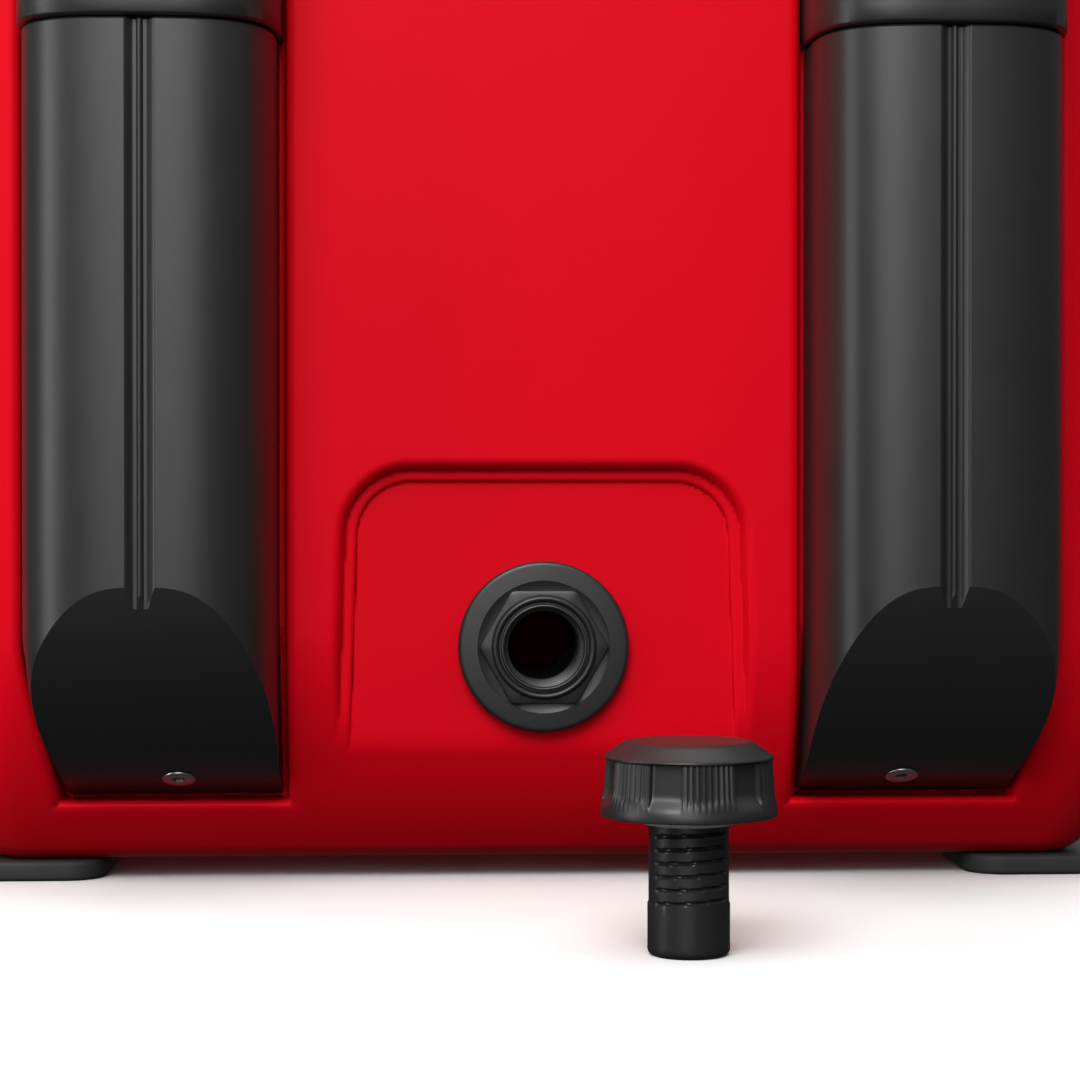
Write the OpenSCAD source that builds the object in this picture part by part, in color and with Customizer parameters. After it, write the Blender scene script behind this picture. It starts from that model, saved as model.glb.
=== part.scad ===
/* [Body] */
// Width of the body across its two side walls
body_w = 480; // [400:5:600]
// Length of the body from the drain wall to the wheel wall
body_l = 500; // [420:5:640]
// Height of the body's rim above the floor
rim_z = 408; // [380:2:520]
// Gap between the floor and the underside of the body
ground_gap = 7.5; // [7:0.5:12]
// Radius of the body's vertical corners
corner_r = 50; // [40:1:60]
// Thickness of the insulated walls
wall_t = 42; // [36:1:50]
// Thickness of the insulated floor
floor_t = 53; // [44:1:60]
// Thickness of the moulded skin
skin_t = 5; // [3:0.5:7]
// Radius with which the walls curve under at the bottom
under_r = 125; // [105:1:150]
// Height above the floor at which the walls begin to curve under
under_z = 95; // [80:1:100]
// Radius of the tub's vertical corners
tub_r = 30; // [20:1:45]

/* [Lid] */
// Height of the closed lid above the seal
lid_t = 90; // [76:1:110]
// Gap between the rim and the lid, filled by the seal
seal_gap = 2; // [1.5:0.1:3]
// Radius of the lid's upper edges
lid_edge_r = 30; // [20:1:40]
// How far the lid's inner panel dips into the tub
lid_dip = 18; // [10:1:26]
// Clearance between the lid's inner panel and the tub
dip_clear = 4; // [3:0.5:8]
// Width of the seal
seal_w = 8; // [6:0.5:10]
// Distance of the hinge axis from the side wall
hinge_out = 12; // [11:0.5:15]
// Distance between the two hinges
hinge_pitch = 280; // [200:5:290]
// Radius of the hinge knuckles
knuckle_r = 10; // [9:0.5:11]
// Radius of the hinge rod
hinge_rod_r = 4; // [3:0.1:5]
// Length of one hinge knuckle
knuckle_l = 36; // [24:1:44]

/* [Latches] */
// Distance between the two latches
latch_pitch = 260; // [200:5:300]
// Width of a latch
latch_w = 52; // [40:1:64]
// Length of a latch from its pivot to its lower end
latch_l = 84; // [70:1:100]
// Angle by which a latch stands off when it is released
latch_free = 6; // [5:0.5:9]
// Distance of the latch pivot from the side wall
latch_out = 12; // [11:0.5:14]
// How far the keeper stands out of the side wall
keeper_out = 5.5; // [4:0.5:6]
// Radius of the latch pins
latch_pin_r = 3; // [2:0.1:3.5]

/* [Handle rails] */
// Distance of a rail's centre line from the middle of the cooler
rail_x = 140; // [125:1:150]
// Width of a rail
rail_w = 89; // [84:1:98]
// How far a rail stands out of the drain wall
rail_out = 45; // [42:1:52]
// Power of a rail's rounded section: higher is squarer
rail_power = 3.2; // [2.6:0.1:4]
// Wall thickness of the rail mouldings
rail_wall = 3.5; // [2.5:0.5:5]
// Depth of the channel that seats a rail
channel_d = 10; // [6:1:14]
// Height of the ledge under a rail's lower end
ledge_z = 31; // [28:1:40]
// Height at which a rail's lower end begins to curve under
tongue_top = 111; // [107:1:114]
// Radius with which a rail's lower end curves under
tongue_r = 115; // [112:1:118]
// Angle of the break where a rail's lower end begins
tongue_break = 15; // [12:1:18]
// Height of the seam between a rail and its collar
seam_z = 305; // [280:1:320]
// Distance from a collar's top to the rim
collar_drop = 10; // [8:1:24]
// How much wider than the rail the collar is on each side
collar_step = 1.5; // [0:0.5:2.5]
// Distance of a rail screw from the rail's centre line, towards the middle
rail_screw_in = 8; // [0:1:16]
// Angle below level at which the rail screws face
rail_screw_tilt = 61; // [58:1:62]

/* [Telescopic handle] */
// Outer radius of the lower sliding tubes
tube_1_r = 14; // [13:0.5:15]
// Outer radius of the upper sliding tubes
tube_2_r = 11; // [9.5:0.5:11.5]
// Wall thickness of the sliding tubes
tube_wall = 1.8; // [1.2:0.1:2]
// Distance of the tubes' centre line from the drain wall
tube_out = 19; // [18:0.5:22]
// Travel of each stage of the handle
stage_travel = 250; // [180:5:260]
// Width of the grip bar, front to back
grip_w = 28; // [26:1:30]
// Height of the grip bar
grip_h = 36; // [34:1:44]
// Travel of the release button
button_travel = 4; // [2:0.5:5]
// Length of the release button
button_l = 60; // [40:1:80]

/* [Drain] */
// Height of the drain's centre line above the floor
drain_z = 88; // [84:1:100]
// Half width of the drain pocket
pocket_hw = 68; // [56:1:80]
// Height of the pocket's top above the floor
pocket_top = 154; // [140:1:170]
// Depth of the drain pocket
pocket_d = 7.5; // [5:0.5:10]
// Radius of the pocket's upper corners
pocket_r = 25; // [15:1:35]
// Diameter of the drain flange
flange_d = 62; // [58:1:72]
// Radius of the drain's threaded bore
drain_bore_r = 13.1; // [12:0.1:14]
// Radial clearance of the plug's stem in the bore
plug_clear = 0.35; // [0.2:0.05:0.6]
// Diameter of the drain plug's cap
plug_cap_d = 55; // [48:1:64]
// Height of the drain plug
plug_h = 66; // [60:1:80]
// Distance of the plug from the drain wall, where it stands on the floor
plug_gap = 133; // [100:1:200]
// Distance of the plug to the side of the drain
plug_x = 38; // [0:1:90]

/* [Wheels and feet] */
// Radius of a wheel
wheel_r = 100; // [90:1:106]
// Width of a wheel
wheel_w = 50; // [42:1:54]
// Distance of the axle from the wheel wall
axle_in = 60; // [50:1:80]
// Radius of the axle
axle_r = 7; // [6:0.5:8]
// Gap between a wheel and its well
well_gap = 8; // [6:1:12]
// Length of a foot across the cooler
foot_w = 62; // [54:1:84]
// Depth of a foot, front to back
foot_l = 62; // [50:1:76]

/* [Clearances] */
// Radial clearance of turning and sliding fits
run_fit = 0.05; // [0.02:0.01:0.09]
// Gap between pieces that are screwed or pressed together
seat_fit = 0.2; // [0.1:0.05:0.4]
// Gap between pieces that move past each other
move_gap = 0.5; // [0.3:0.1:0.8]

/* [Hidden] */
$fn = 96;
eps = 0.5;

red = [0.80, 0.03, 0.09];
black = [0.09, 0.09, 0.10];
rubber = [0.16, 0.16, 0.17];
steel = [0.72, 0.72, 0.74];
silver = [0.60, 0.61, 0.63];
foam = [0.95, 0.90, 0.72];
pale = [0.78, 0.78, 0.76];

// Body
half_w = body_w / 2;
half_l = body_l / 2;
front_y = -half_l;
tub_hw = half_w - wall_t;
tub_hl = half_l - wall_t;
tub_z = ground_gap + floor_t;
// The lid
lid_z = rim_z + seal_gap;
lid_top = lid_z + lid_t;
hinge_x = -half_w - hinge_out;
hinge_z = rim_z + seal_gap / 2;
hinge_sites = [-hinge_pitch / 2, hinge_pitch / 2];
panel_d = 6;
panel_in = 46;
dip_hw = tub_hw - dip_clear;
dip_hl = tub_hl - dip_clear;
seal_x = tub_hw + 12;
seal_y = tub_hl + 12;
seal_groove = 5;
scoop_hw = 78;
scoop_d = 32;
scoop_r = 22;
// The hand hold in the wheel wall
hold_hw = 66;
hold_top = rim_z - 26;
hold_h = 44;
hold_d = 26;
// Wheels
axle_z = wheel_r;
axle_y = half_l - axle_in;
well_r = wheel_r + well_gap;
wheel_out = half_w - 4;
wheel_mid = wheel_out - wheel_w / 2;
well_in = wheel_out - wheel_w - well_gap;
well_wall = 18;
step_y = axle_y - well_r - well_wall;
tunnel_top = axle_z + axle_r + 20;
arch_top = axle_z + well_r + well_wall;
rim_r = wheel_r - 22;
hub_r = 24;
hub_in = wheel_out - wheel_w + 3;
hub_out = wheel_out - 9;
bush_t = 3.5;
washer_t = 1.5;
nut_t = 4;
// Rails and tubes
tube_y = front_y - tube_out;
rail_front = front_y - rail_out;
channel_y = front_y + channel_d;
tongue_z = ledge_z + 2;
tongue_cy = rail_front + tongue_r * cos(tongue_break);
tongue_cz = tongue_top + tongue_r * sin(tongue_break);
ledge_y = tongue_y(tongue_z) + 8;
socket_top = tongue_top + 1;
collar_top = rim_z - collar_drop;
guide_in_r = tube_1_r + 0.4;
guide_r = guide_in_r + tube_wall;
guide_low = socket_top - 18;
bush_flange = 6;
tube_1_in = tube_1_r - tube_wall;
tube_2_in = tube_2_r - tube_wall;
end_plug = 10;
stage_1_low = guide_low + 4;
stage_1_top = collar_top + bush_flange + 6;
stage_2_low = stage_1_low + 10;
stage_1_head = 8;
// The grip
grip_low = stage_1_top + stage_1_head + 4;
grip_top = grip_low + grip_h;
grip_mid = grip_low + grip_h / 2;
grip_hl = rail_x + 20;
grip_in = 4.5;
grip_floor = grip_low + 9;
grip_roof = grip_top - 6;
tube_2_top = grip_floor + 2;
beam_low = tube_2_top + button_travel + 2;
beam_t = 5;
rod_r = 2.5;
button_w = 13;
button_out = 5;
spring_r = 4;
spring_wire = 0.6;
// The drain
pocket_y = front_y + pocket_d;
gasket_t = 1.5;
drain_tube_r = drain_bore_r + 3.2;
drain_flange_y = pocket_y - gasket_t;
flange_t = 4;
hex_t = 3;
mouth_t = 1.5;
drain_mouth_y = drain_flange_y - flange_t - hex_t - mouth_t;
drain_nut_t = 6;
drain_end_y = -tub_hl + drain_nut_t + 3;
bore_len = 46;
// The plug
stem_r = drain_bore_r - plug_clear;
plug_y = front_y - plug_gap;
cap_h = 23;
cap_low = plug_h - cap_h;
plug_seal_t = 2.6;
// Screws
screw_r = 3;
screw_head_r = 6;
keeper_z = latch_pivot_z() - latch_l + 18;

// The row's origin is under the middle of everything, the standing plug included
shift_y = (-(plug_y - plug_cap_d / 2) - (axle_y + wheel_r)) / 2;

function latch_pivot_z() = lid_z + 26;
// The front face of a rail's lower end, and the channel behind it, at a height
function tongue_y(z) = tongue_cy - sqrt(pow(tongue_r, 2) - pow(tongue_cz - z, 2));
function seat_y(z) = channel_y + (ledge_y - channel_y) * (under_z - z) / (under_z - ledge_z);
function recess_at(z, inset) = z >= under_z ? 0
    : (under_r - inset) - sqrt(pow(under_r - inset, 2) - pow(under_z - z, 2));

module place() { translate([0, shift_y, 0]) children(); }
module both_sides() { for (s = [-1, 1]) translate([s * rail_x, 0, 0]) children(); }
module along_x(len) { rotate([90, 0, 90]) linear_extrude(len, center = true) children(); }
module along_y(len) { rotate([90, 0, 0]) linear_extrude(len, center = true) children(); }

// A rectangle with true round corners
module rounded(w, l, r) {
    square([w, l - 2 * r], center = true);
    square([w - 2 * r, l], center = true);
    for (x = [-1, 1], y = [-1, 1]) translate([x * (w / 2 - r), y * (l / 2 - r)]) circle(r);
}

// A straight wall that curves under below under_z, as an outline seen end-on
module under_outline(half, inset, low, high) {
    r = under_r - inset;
    steps = 8;
    turn = asin((under_z - low) / r);
    curve = [for (i = [0:steps]) let (a = turn * (1 - i / steps))
        [half - inset - r * (1 - cos(a)), under_z - r * sin(a)]];
    polygon(concat(curve, [[half - inset, high], [-half + inset, high]],
        [for (i = [steps:-1:0]) [-curve[i][0], curve[i][1]]]));
}

// The body's outer form, drawn in by an inset
module body_form(inset, low, high) {
    intersection() {
        translate([0, 0, low - eps])
            linear_extrude(high - low + 2 * eps)
                rounded(body_w - 2 * inset, body_l - 2 * inset, corner_r - inset);
        along_y(body_l + 10) under_outline(half_w, inset, low, high);
        along_x(body_w + 10) under_outline(half_l, inset, low, high);
    }
}

// The space that the tub leaves, grown by a margin
module tub_form(grow, high) {
    upper_low = max(arch_top, tub_z + 40) - grow;
    front_len = step_y + tub_hl + 2 * grow;
    rear_hw = well_in - well_wall + grow;
    rear_r = min(tub_r, 20) + grow;
    translate([0, 0, upper_low]) linear_extrude(high - upper_low)
        rounded(2 * (tub_hw + grow), 2 * (tub_hl + grow), tub_r + grow);
    translate([0, (step_y - tub_hl) / 2, tub_z - grow]) linear_extrude(high - tub_z + grow)
        rounded(2 * (tub_hw + grow), front_len, tub_r + grow);
    translate([0, 0, tunnel_top - grow]) linear_extrude(high - tunnel_top + grow)
        rounded(2 * rear_hw, 2 * (tub_hl + grow), rear_r);
}

// The round wells that hold the wheels
module wells(grow) {
    for (s = [-1, 1])
        translate([s * (well_in - grow + 50), axle_y, axle_z]) rotate([0, 90, 0])
            cylinder(r = well_r + grow, h = 100, center = true);
}

// The two channels that seat the rails, with a ledge below
module channels(grow) {
    half = rail_w / 2 + collar_step + move_gap + grow;
    both_sides() along_x(2 * half) polygon([
        [front_y - 90, ledge_z - grow], [ledge_y + grow, ledge_z - grow],
        [channel_y + grow, under_z], [channel_y + grow, collar_top + move_gap + grow],
        [front_y - 90, collar_top + move_gap + grow]]);
}

// The arched pocket around the drain
module pocket(grow) {
    high = pocket_top + grow;
    half = pocket_hw + grow;
    r = pocket_r + grow;
    translate([0, pocket_y + grow - 50, 0]) along_y(100) {
        translate([-half, ground_gap - 20]) square([2 * half, high - r - ground_gap + 20]);
        translate([-half + r, high - r - eps]) square([2 * (half - r), r + eps]);
        for (s = [-1, 1]) translate([s * (half - r), high - r]) circle(r);
    }
}

// The hand hold under the rim of the wheel wall
module hand_hold(grow) {
    translate([0, half_l - hold_d - grow + 50, hold_top - hold_h / 2]) along_y(100)
        rounded(2 * (hold_hw + grow), hold_h + 2 * grow, 12 + grow);
}

// The space that is filled with foam
module body_cavity() {
    difference() {
        body_form(skin_t, ground_gap + skin_t, rim_z - skin_t);
        tub_form(skin_t, rim_z);
        wells(skin_t);
        channels(skin_t);
        pocket(skin_t);
        hand_hold(skin_t);
        translate([0, front_y + wall_t / 2, drain_z]) rotate([90, 0, 0])
            cylinder(r = drain_tube_r + skin_t, h = wall_t + 20, center = true);
        translate([0, axle_y, axle_z]) rotate([0, 90, 0])
            cylinder(r = axle_r + skin_t, h = body_w, center = true);
    }
}

// One knuckle of the hinge with its root, reaching down (or up) beside a wall
module knuckle(len, root_h, up) {
    difference() {
        union() {
            rotate([90, 0, 0]) cylinder(r = knuckle_r, h = len, center = true);
            translate([0, -len / 2, up > 0 ? 0 : -root_h])
                cube([hinge_out + 1, len, root_h]);
        }
        rotate([90, 0, 0]) cylinder(r = hinge_rod_r + run_fit, h = len + 2, center = true);
    }
}

module hinge_gap(len) {
    rotate([90, 0, 0]) cylinder(r = knuckle_r + 1, h = len + 2 * move_gap, center = true);
}

// The outer form of the lid, drawn in by an inset
module lid_outline(half, inset) {
    r = lid_edge_r - inset;
    steps = 6;
    low = lid_z + inset;
    high = lid_top - inset;
    arc = [for (i = [0:steps]) let (a = 90 * i / steps)
        [half - inset - r * (1 - cos(a)), high - r + r * sin(a)]];
    polygon(concat([[half - inset, low]], arc,
        [for (i = [steps:-1:0]) [-arc[i][0], arc[i][1]]], [[-half + inset, low]]));
}

module lid_form(inset) {
    intersection() {
        translate([0, 0, lid_z - eps]) linear_extrude(lid_t + 2 * eps)
            rounded(body_w - 2 * inset, body_l - 2 * inset, corner_r - inset);
        along_y(body_l + 10) lid_outline(half_w, inset);
        along_x(body_w + 10) lid_outline(half_l, inset);
    }
}

// The finger scoop in the lid behind the stowed grip
module lid_scoop(grow) {
    translate([0, front_y + scoop_d / 2 - 25 + grow / 2, lid_z + 10 - grow])
        linear_extrude(lid_t)
            rounded(2 * (scoop_hw + grow), scoop_d + 50 + grow, scoop_r + grow);
}

module lid_panel(grow) {
    translate([0, scoop_d / 2, lid_top - panel_d - grow]) linear_extrude(panel_d + 10)
        rounded(body_w - 2 * panel_in + 2 * grow,
            body_l - 2 * panel_in - scoop_d + 2 * grow, 30 + grow);
}

module lid_cavity() {
    difference() {
        lid_form(skin_t);
        lid_scoop(skin_t);
        lid_panel(skin_t);
        seal_ring(seal_w + 2 * skin_t, lid_z - 1, seal_groove + skin_t + 1);
    }
}

// A rectangular ring around the tub's mouth
module seal_ring(w, low, h) {
    translate([0, 0, low]) linear_extrude(h) difference() {
        rounded(2 * seal_x + w, 2 * seal_y + w, tub_r + 12 + w / 2);
        rounded(2 * seal_x - w, 2 * seal_y - w, tub_r + 12 - w / 2);
    }
}

module body_shell() place() color(red) difference() {
    union() {
        difference() {
            body_form(0, ground_gap, rim_z);
            for (y = hinge_sites) translate([hinge_x, y, hinge_z]) hinge_gap(knuckle_l * 3);
        }
        for (y = hinge_sites, s = [-1, 1])
            translate([hinge_x, y + s * knuckle_l, hinge_z]) knuckle(knuckle_l, 34, -1);
    }
    tub_form(0, rim_z + 1);
    body_cavity();
    wells(0);
    channels(0);
    pocket(0);
    hand_hold(0);
    translate([0, front_y + wall_t / 2, drain_z]) rotate([90, 0, 0])
        cylinder(r = drain_tube_r + seat_fit, h = wall_t + 20, center = true);
    translate([0, axle_y, axle_z]) rotate([0, 90, 0])
        cylinder(r = axle_r + seat_fit, h = body_w, center = true);
    rail_screw_holes(screw_r);
    foot_screw_holes();
    keeper_screw_holes();
}

module body_insulation() place() color(foam) difference() {
    body_cavity();
    rail_screw_holes(screw_r + skin_t);
    foot_screw_holes();
    keeper_screw_holes();
}

module lid_shell() place() color(red) difference() {
    union() {
        difference() {
            lid_form(0);
            for (y = hinge_sites) translate([hinge_x, y, hinge_z]) hinge_gap(knuckle_l * 3);
        }
        translate([0, 0, rim_z - lid_dip + seal_gap]) linear_extrude(lid_dip + 1)
            rounded(2 * dip_hw, 2 * dip_hl, tub_r - dip_clear + 2);
        for (y = hinge_sites) translate([hinge_x, y, hinge_z])
            knuckle(knuckle_l - 2 * move_gap, 30, 1);
    }
    lid_scoop(0);
    lid_panel(0);
    lid_cavity();
    seal_ring(seal_w, lid_z - 1, seal_groove + 1);
    latch_bracket_screw_holes();
}

module lid_insulation() place() color(foam) difference() {
    lid_cavity();
    latch_bracket_screw_holes();
}

module lid_gasket() place() color(rubber)
    seal_ring(seal_w - 2 * seat_fit, rim_z + 0.3, seal_gap + seal_groove - 0.3);

module hinge_rod() place() color(steel)
    translate([hinge_x, 0, hinge_z]) rotate([90, 0, 0])
        cylinder(r = hinge_rod_r, h = hinge_sites[1] * 2 + 3 * knuckle_l + 8, center = true);

// Latches
module at_latches() { for (s = [-1, 1]) translate([half_w, s * latch_pitch / 2, 0]) children(); }
bracket_t = 5;
bracket_h = 34;
ear_t = 6;
bracket_w = latch_w + 2 * ear_t + 2 * move_gap;

module latch_brackets() place() color(black) at_latches() {
    z = latch_pivot_z();
    difference() {
        union() {
            translate([0, -bracket_w / 2, z - bracket_h / 2])
                cube([bracket_t - 1, bracket_w, bracket_h]);
            for (s = [-1, 1]) translate([0, s * (bracket_w - ear_t) / 2, z]) rotate([90, 0, 0]) {
                translate([latch_out, 0, 0]) cylinder(r = 8, h = ear_t, center = true);
                translate([0, -8, -ear_t / 2]) cube([latch_out, 16, ear_t]);
            }
        }
        translate([latch_out, 0, z]) rotate([90, 0, 0])
            cylinder(r = latch_pin_r + run_fit, h = bracket_w + 2, center = true);
        for (s = [-1, 1], u = [-1, 1])
            translate([-1, s * latch_w / 4, z + u * 12]) rotate([0, 90, 0])
                cylinder(r = 1.8, h = bracket_t + 2);
    }
}

module bracket_screw_places() {
    at_latches() for (s = [-1, 1], u = [-1, 1])
        translate([0, s * latch_w / 4, latch_pivot_z() + u * 12]) children();
}

module latch_bracket_screws() place() color(steel) bracket_screw_places()
    rotate([0, 90, 0]) {
        translate([0, 0, -12]) cylinder(r = 1.6, h = 16);
        translate([0, 0, bracket_t - 1]) cylinder(r = 3, h = 1.5);
    }

module latch_bracket_screw_holes() bracket_screw_places() rotate([0, 90, 0])
    translate([0, 0, -13]) cylinder(r = 1.75, h = 14);

module latch_pins() place() color(steel) at_latches()
    translate([latch_out, 0, latch_pivot_z()]) rotate([90, 0, 0])
        cylinder(r = latch_pin_r, h = bracket_w + 1, center = true);

// One latch, turned out by the angle at which it stands when released
module latch(side) place() color(black)
    translate([half_w + latch_out, side * latch_pitch / 2, latch_pivot_z()])
        rotate([0, -latch_free, 0]) difference() {
            union() {
                rotate([90, 0, 0]) cylinder(r = 6, h = latch_w, center = true);
                rotate([90, 0, 0]) linear_extrude(latch_w, center = true) polygon([
                    [-3, 0], [-3, -latch_l + 12], [-latch_out + 3, -latch_l + 12],
                    [-latch_out + 1.5, -latch_l + 4], [-3, -latch_l], [5, -latch_l - 8],
                    [8, -latch_l - 4], [6, -latch_l + 10], [6, 0]]);
            }
            rotate([90, 0, 0]) cylinder(r = latch_pin_r + run_fit, h = latch_w + 2, center = true);
            translate([-5, 0, -22]) rotate([90, 0, 0])
                cylinder(r = 1, h = latch_w + 2, center = true);
        }

module latch_front() latch(-1);
module latch_back() latch(1);

module keeper_screw_places() {
    at_latches() for (s = [-1, 1]) translate([0, s * (latch_w / 2 + 7), keeper_z]) children();
}

module latch_keepers() place() color(black) at_latches() difference() {
    union() {
        translate([0, -latch_w / 2 - 14, keeper_z - 8]) cube([2.5, latch_w + 28, 16]);
        translate([0, -latch_w / 2 + 1, keeper_z - 4]) cube([keeper_out, latch_w - 2, 8]);
    }
    for (s = [-1, 1]) translate([-1, s * (latch_w / 2 + 7), keeper_z]) rotate([0, 90, 0])
        cylinder(r = 1.8, h = 10);
}

module keeper_screws() place() color(steel) keeper_screw_places() rotate([0, 90, 0]) {
    translate([0, 0, -12]) cylinder(r = 1.6, h = 14.5);
    translate([0, 0, 2.5]) cylinder(r = 3.2, h = 1.6);
}

module keeper_screw_holes() keeper_screw_places() rotate([0, 90, 0])
    translate([0, 0, -13]) cylinder(r = 1.75, h = 14);

// Rails: a rounded section with a flat front, as deep as the rail stands out
module rail_section(inset, grow) {
    half = rail_w / 2 + grow - inset;
    deep = rail_out + grow - inset;
    steps = 12;
    side = [for (i = [1:steps]) let (a = 90 * i / steps)
        [half * pow(sin(a), 2 / rail_power),
            front_y - deep * (i == 1 ? 1 : i == steps ? 0 : pow(cos(a), 2 / rail_power))]];
    polygon(concat([[-half, channel_y - seat_fit]],
        [for (i = [steps - 1:-1:0]) [-side[i][0], side[i][1]]], side,
        [[half, channel_y - seat_fit]]));
}

module rail() {
    back = seat_y(tongue_z) - seat_fit;
    difference() {
        intersection() {
            translate([0, 0, tongue_z]) linear_extrude(seam_z - tongue_z) union() {
                rail_section(0, 0);
                translate([-rail_w / 2, channel_y - 10]) square([rail_w, back - channel_y + 10]);
            }
            along_x(rail_w + 2) intersection() {
                polygon([[rail_front, tongue_z], [back, tongue_z],
                    [channel_y - seat_fit, under_z], [channel_y - seat_fit, seam_z],
                    [rail_front, seam_z]]);
                union() {
                    translate([tongue_cy, tongue_cz]) circle(tongue_r + 0.1);
                    translate([rail_front, tongue_top])
                        square([back - rail_front, seam_z - tongue_top]);
                }
            }
        }
        translate([0, 0, socket_top]) linear_extrude(seam_z)
            difference() {
                rail_section(rail_wall, 0);
                translate([-rail_w, channel_y - 3]) square([2 * rail_w, 20]);
            }
        translate([0, tube_y, guide_low]) cylinder(r = guide_r + seat_fit, h = seam_z);
        rail_screw_place() {
            cylinder(r = screw_r + seat_fit, h = 160, center = true);
            translate([0, 0, -4]) cylinder(r1 = screw_r, r2 = screw_head_r + seat_fit, h = 4);
            cylinder(r = screw_head_r + seat_fit, h = 20);
        }
    }
}

module rail_left() place() color(black) translate([-rail_x, 0, 0]) mirror([1, 0, 0]) rail();
module rail_right() place() color(black) translate([rail_x, 0, 0]) rail();

// A rail screw's place, with its head facing out along +Z
module rail_screw_place() {
    out = [tongue_cy - tongue_r * cos(rail_screw_tilt), tongue_cz - tongue_r * sin(rail_screw_tilt)];
    translate([-rail_screw_in, out[0], out[1]]) rotate([90 + rail_screw_tilt, 0, 0])
        translate([0, 0, -1.2]) children();
}

screw_len = 46;

module rail_screws() place() color(silver)
    for (s = [0, 1]) mirror([s, 0, 0]) translate([rail_x, 0, 0]) rail_screw_place()
        difference() {
            union() {
                translate([0, 0, -screw_len]) cylinder(r = screw_r - 0.1, h = screw_len - 3);
                translate([0, 0, -3.2]) cylinder(r1 = screw_r, r2 = screw_head_r, h = 3.2);
            }
            translate([0, 0, -2.4]) cylinder(r = 2.3, h = 3, $fn = 6);
        }

module rail_screw_holes(r) for (s = [0, 1]) mirror([s, 0, 0]) translate([rail_x, 0, 0])
    rail_screw_place() translate([0, 0, -screw_len - 1]) cylinder(r = r, h = screw_len);

// Collars: the upper ends of the rails, where the tubes come out
module collar() {
    low = seam_z + 0.6;
    difference() {
        translate([0, 0, low]) linear_extrude(collar_top - low) rail_section(0, collar_step);
        translate([0, 0, low - 1]) linear_extrude(collar_top - low - 14) difference() {
            rail_section(rail_wall, collar_step);
            translate([-rail_w, channel_y - 3]) square([2 * rail_w, 20]);
        }
        translate([0, tube_y, low - 1]) cylinder(r = guide_r + seat_fit, h = collar_top);
    }
}

module collar_left() place() color(black) translate([-rail_x, 0, 0]) collar();
module collar_right() place() color(black) translate([rail_x, 0, 0]) collar();

// Fixed guide tubes inside the rails
module guide_tube() translate([0, tube_y, 0]) difference() {
    translate([0, 0, guide_low]) cylinder(r = guide_r, h = collar_top - guide_low);
    translate([0, 0, guide_low - 1]) cylinder(r = guide_in_r, h = collar_top);
}

module guide_tube_left() place() color(silver) translate([-rail_x, 0, 0]) guide_tube();
module guide_tube_right() place() color(silver) translate([rail_x, 0, 0]) guide_tube();

module guide_bush() translate([0, tube_y, collar_top]) difference() {
    cylinder(r = guide_r + 2, h = bush_flange);
    translate([0, 0, -1]) cylinder(r = tube_1_r + run_fit, h = bush_flange + 2);
}

module guide_bush_left() place() color(black) translate([-rail_x, 0, 0]) guide_bush();
module guide_bush_right() place() color(black) translate([rail_x, 0, 0]) guide_bush();

// Lower sliding stage
module stage_1_tube() translate([0, tube_y, 0]) difference() {
    translate([0, 0, stage_1_low + end_plug / 2])
        cylinder(r = tube_1_r, h = stage_1_top - stage_1_low - end_plug / 2);
    translate([0, 0, stage_1_low - 1]) cylinder(r = tube_1_in, h = stage_1_top);
}

module stage_1_tube_left() place() color(silver) translate([-rail_x, 0, 0]) stage_1_tube();
module stage_1_tube_right() place() color(silver) translate([rail_x, 0, 0]) stage_1_tube();

module stage_1_bush() translate([0, tube_y, stage_1_top]) difference() {
    union() {
        cylinder(r = tube_1_r + 2.5, h = stage_1_head);
        translate([0, 0, -10]) cylinder(r = tube_1_in - 0.05, h = 11);
    }
    translate([0, 0, -11]) cylinder(r = tube_2_r + run_fit, h = stage_1_head + 12);
}

module stage_1_bush_left() place() color(black) translate([-rail_x, 0, 0]) stage_1_bush();
module stage_1_bush_right() place() color(black) translate([rail_x, 0, 0]) stage_1_bush();

module stage_1_end_plugs() place() color(black) both_sides() translate([0, tube_y, stage_1_low])
    difference() {
        union() {
            cylinder(r = tube_1_r, h = end_plug / 2);
            cylinder(r = tube_1_in - seat_fit, h = end_plug / 2 + 4);
        }
        translate([0, 0, -1]) cylinder(r = 6, h = 20);
    }

// Upper sliding stage
module stage_2_tube() translate([0, tube_y, 0]) difference() {
    translate([0, 0, stage_2_low + end_plug / 2])
        cylinder(r = tube_2_r, h = tube_2_top - stage_2_low - end_plug / 2);
    translate([0, 0, stage_2_low - 1]) cylinder(r = tube_2_in, h = tube_2_top);
}

module stage_2_tube_left() place() color(silver) translate([-rail_x, 0, 0]) stage_2_tube();
module stage_2_tube_right() place() color(silver) translate([rail_x, 0, 0]) stage_2_tube();

module stage_2_end_plugs() place() color(black) both_sides() translate([0, tube_y, stage_2_low])
    difference() {
        union() {
            cylinder(r = tube_2_r, h = end_plug / 2);
            cylinder(r = tube_2_in - seat_fit, h = end_plug);
        }
        translate([0, 0, end_plug - 3]) cylinder(r = rod_r + 1, h = 10);
    }

// The grip bar, made of two mouldings screwed together
module grip_plan(inset) rounded(2 * (grip_hl - inset), grip_w - 2 * inset, grip_w / 2 - inset - 0.5);

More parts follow.
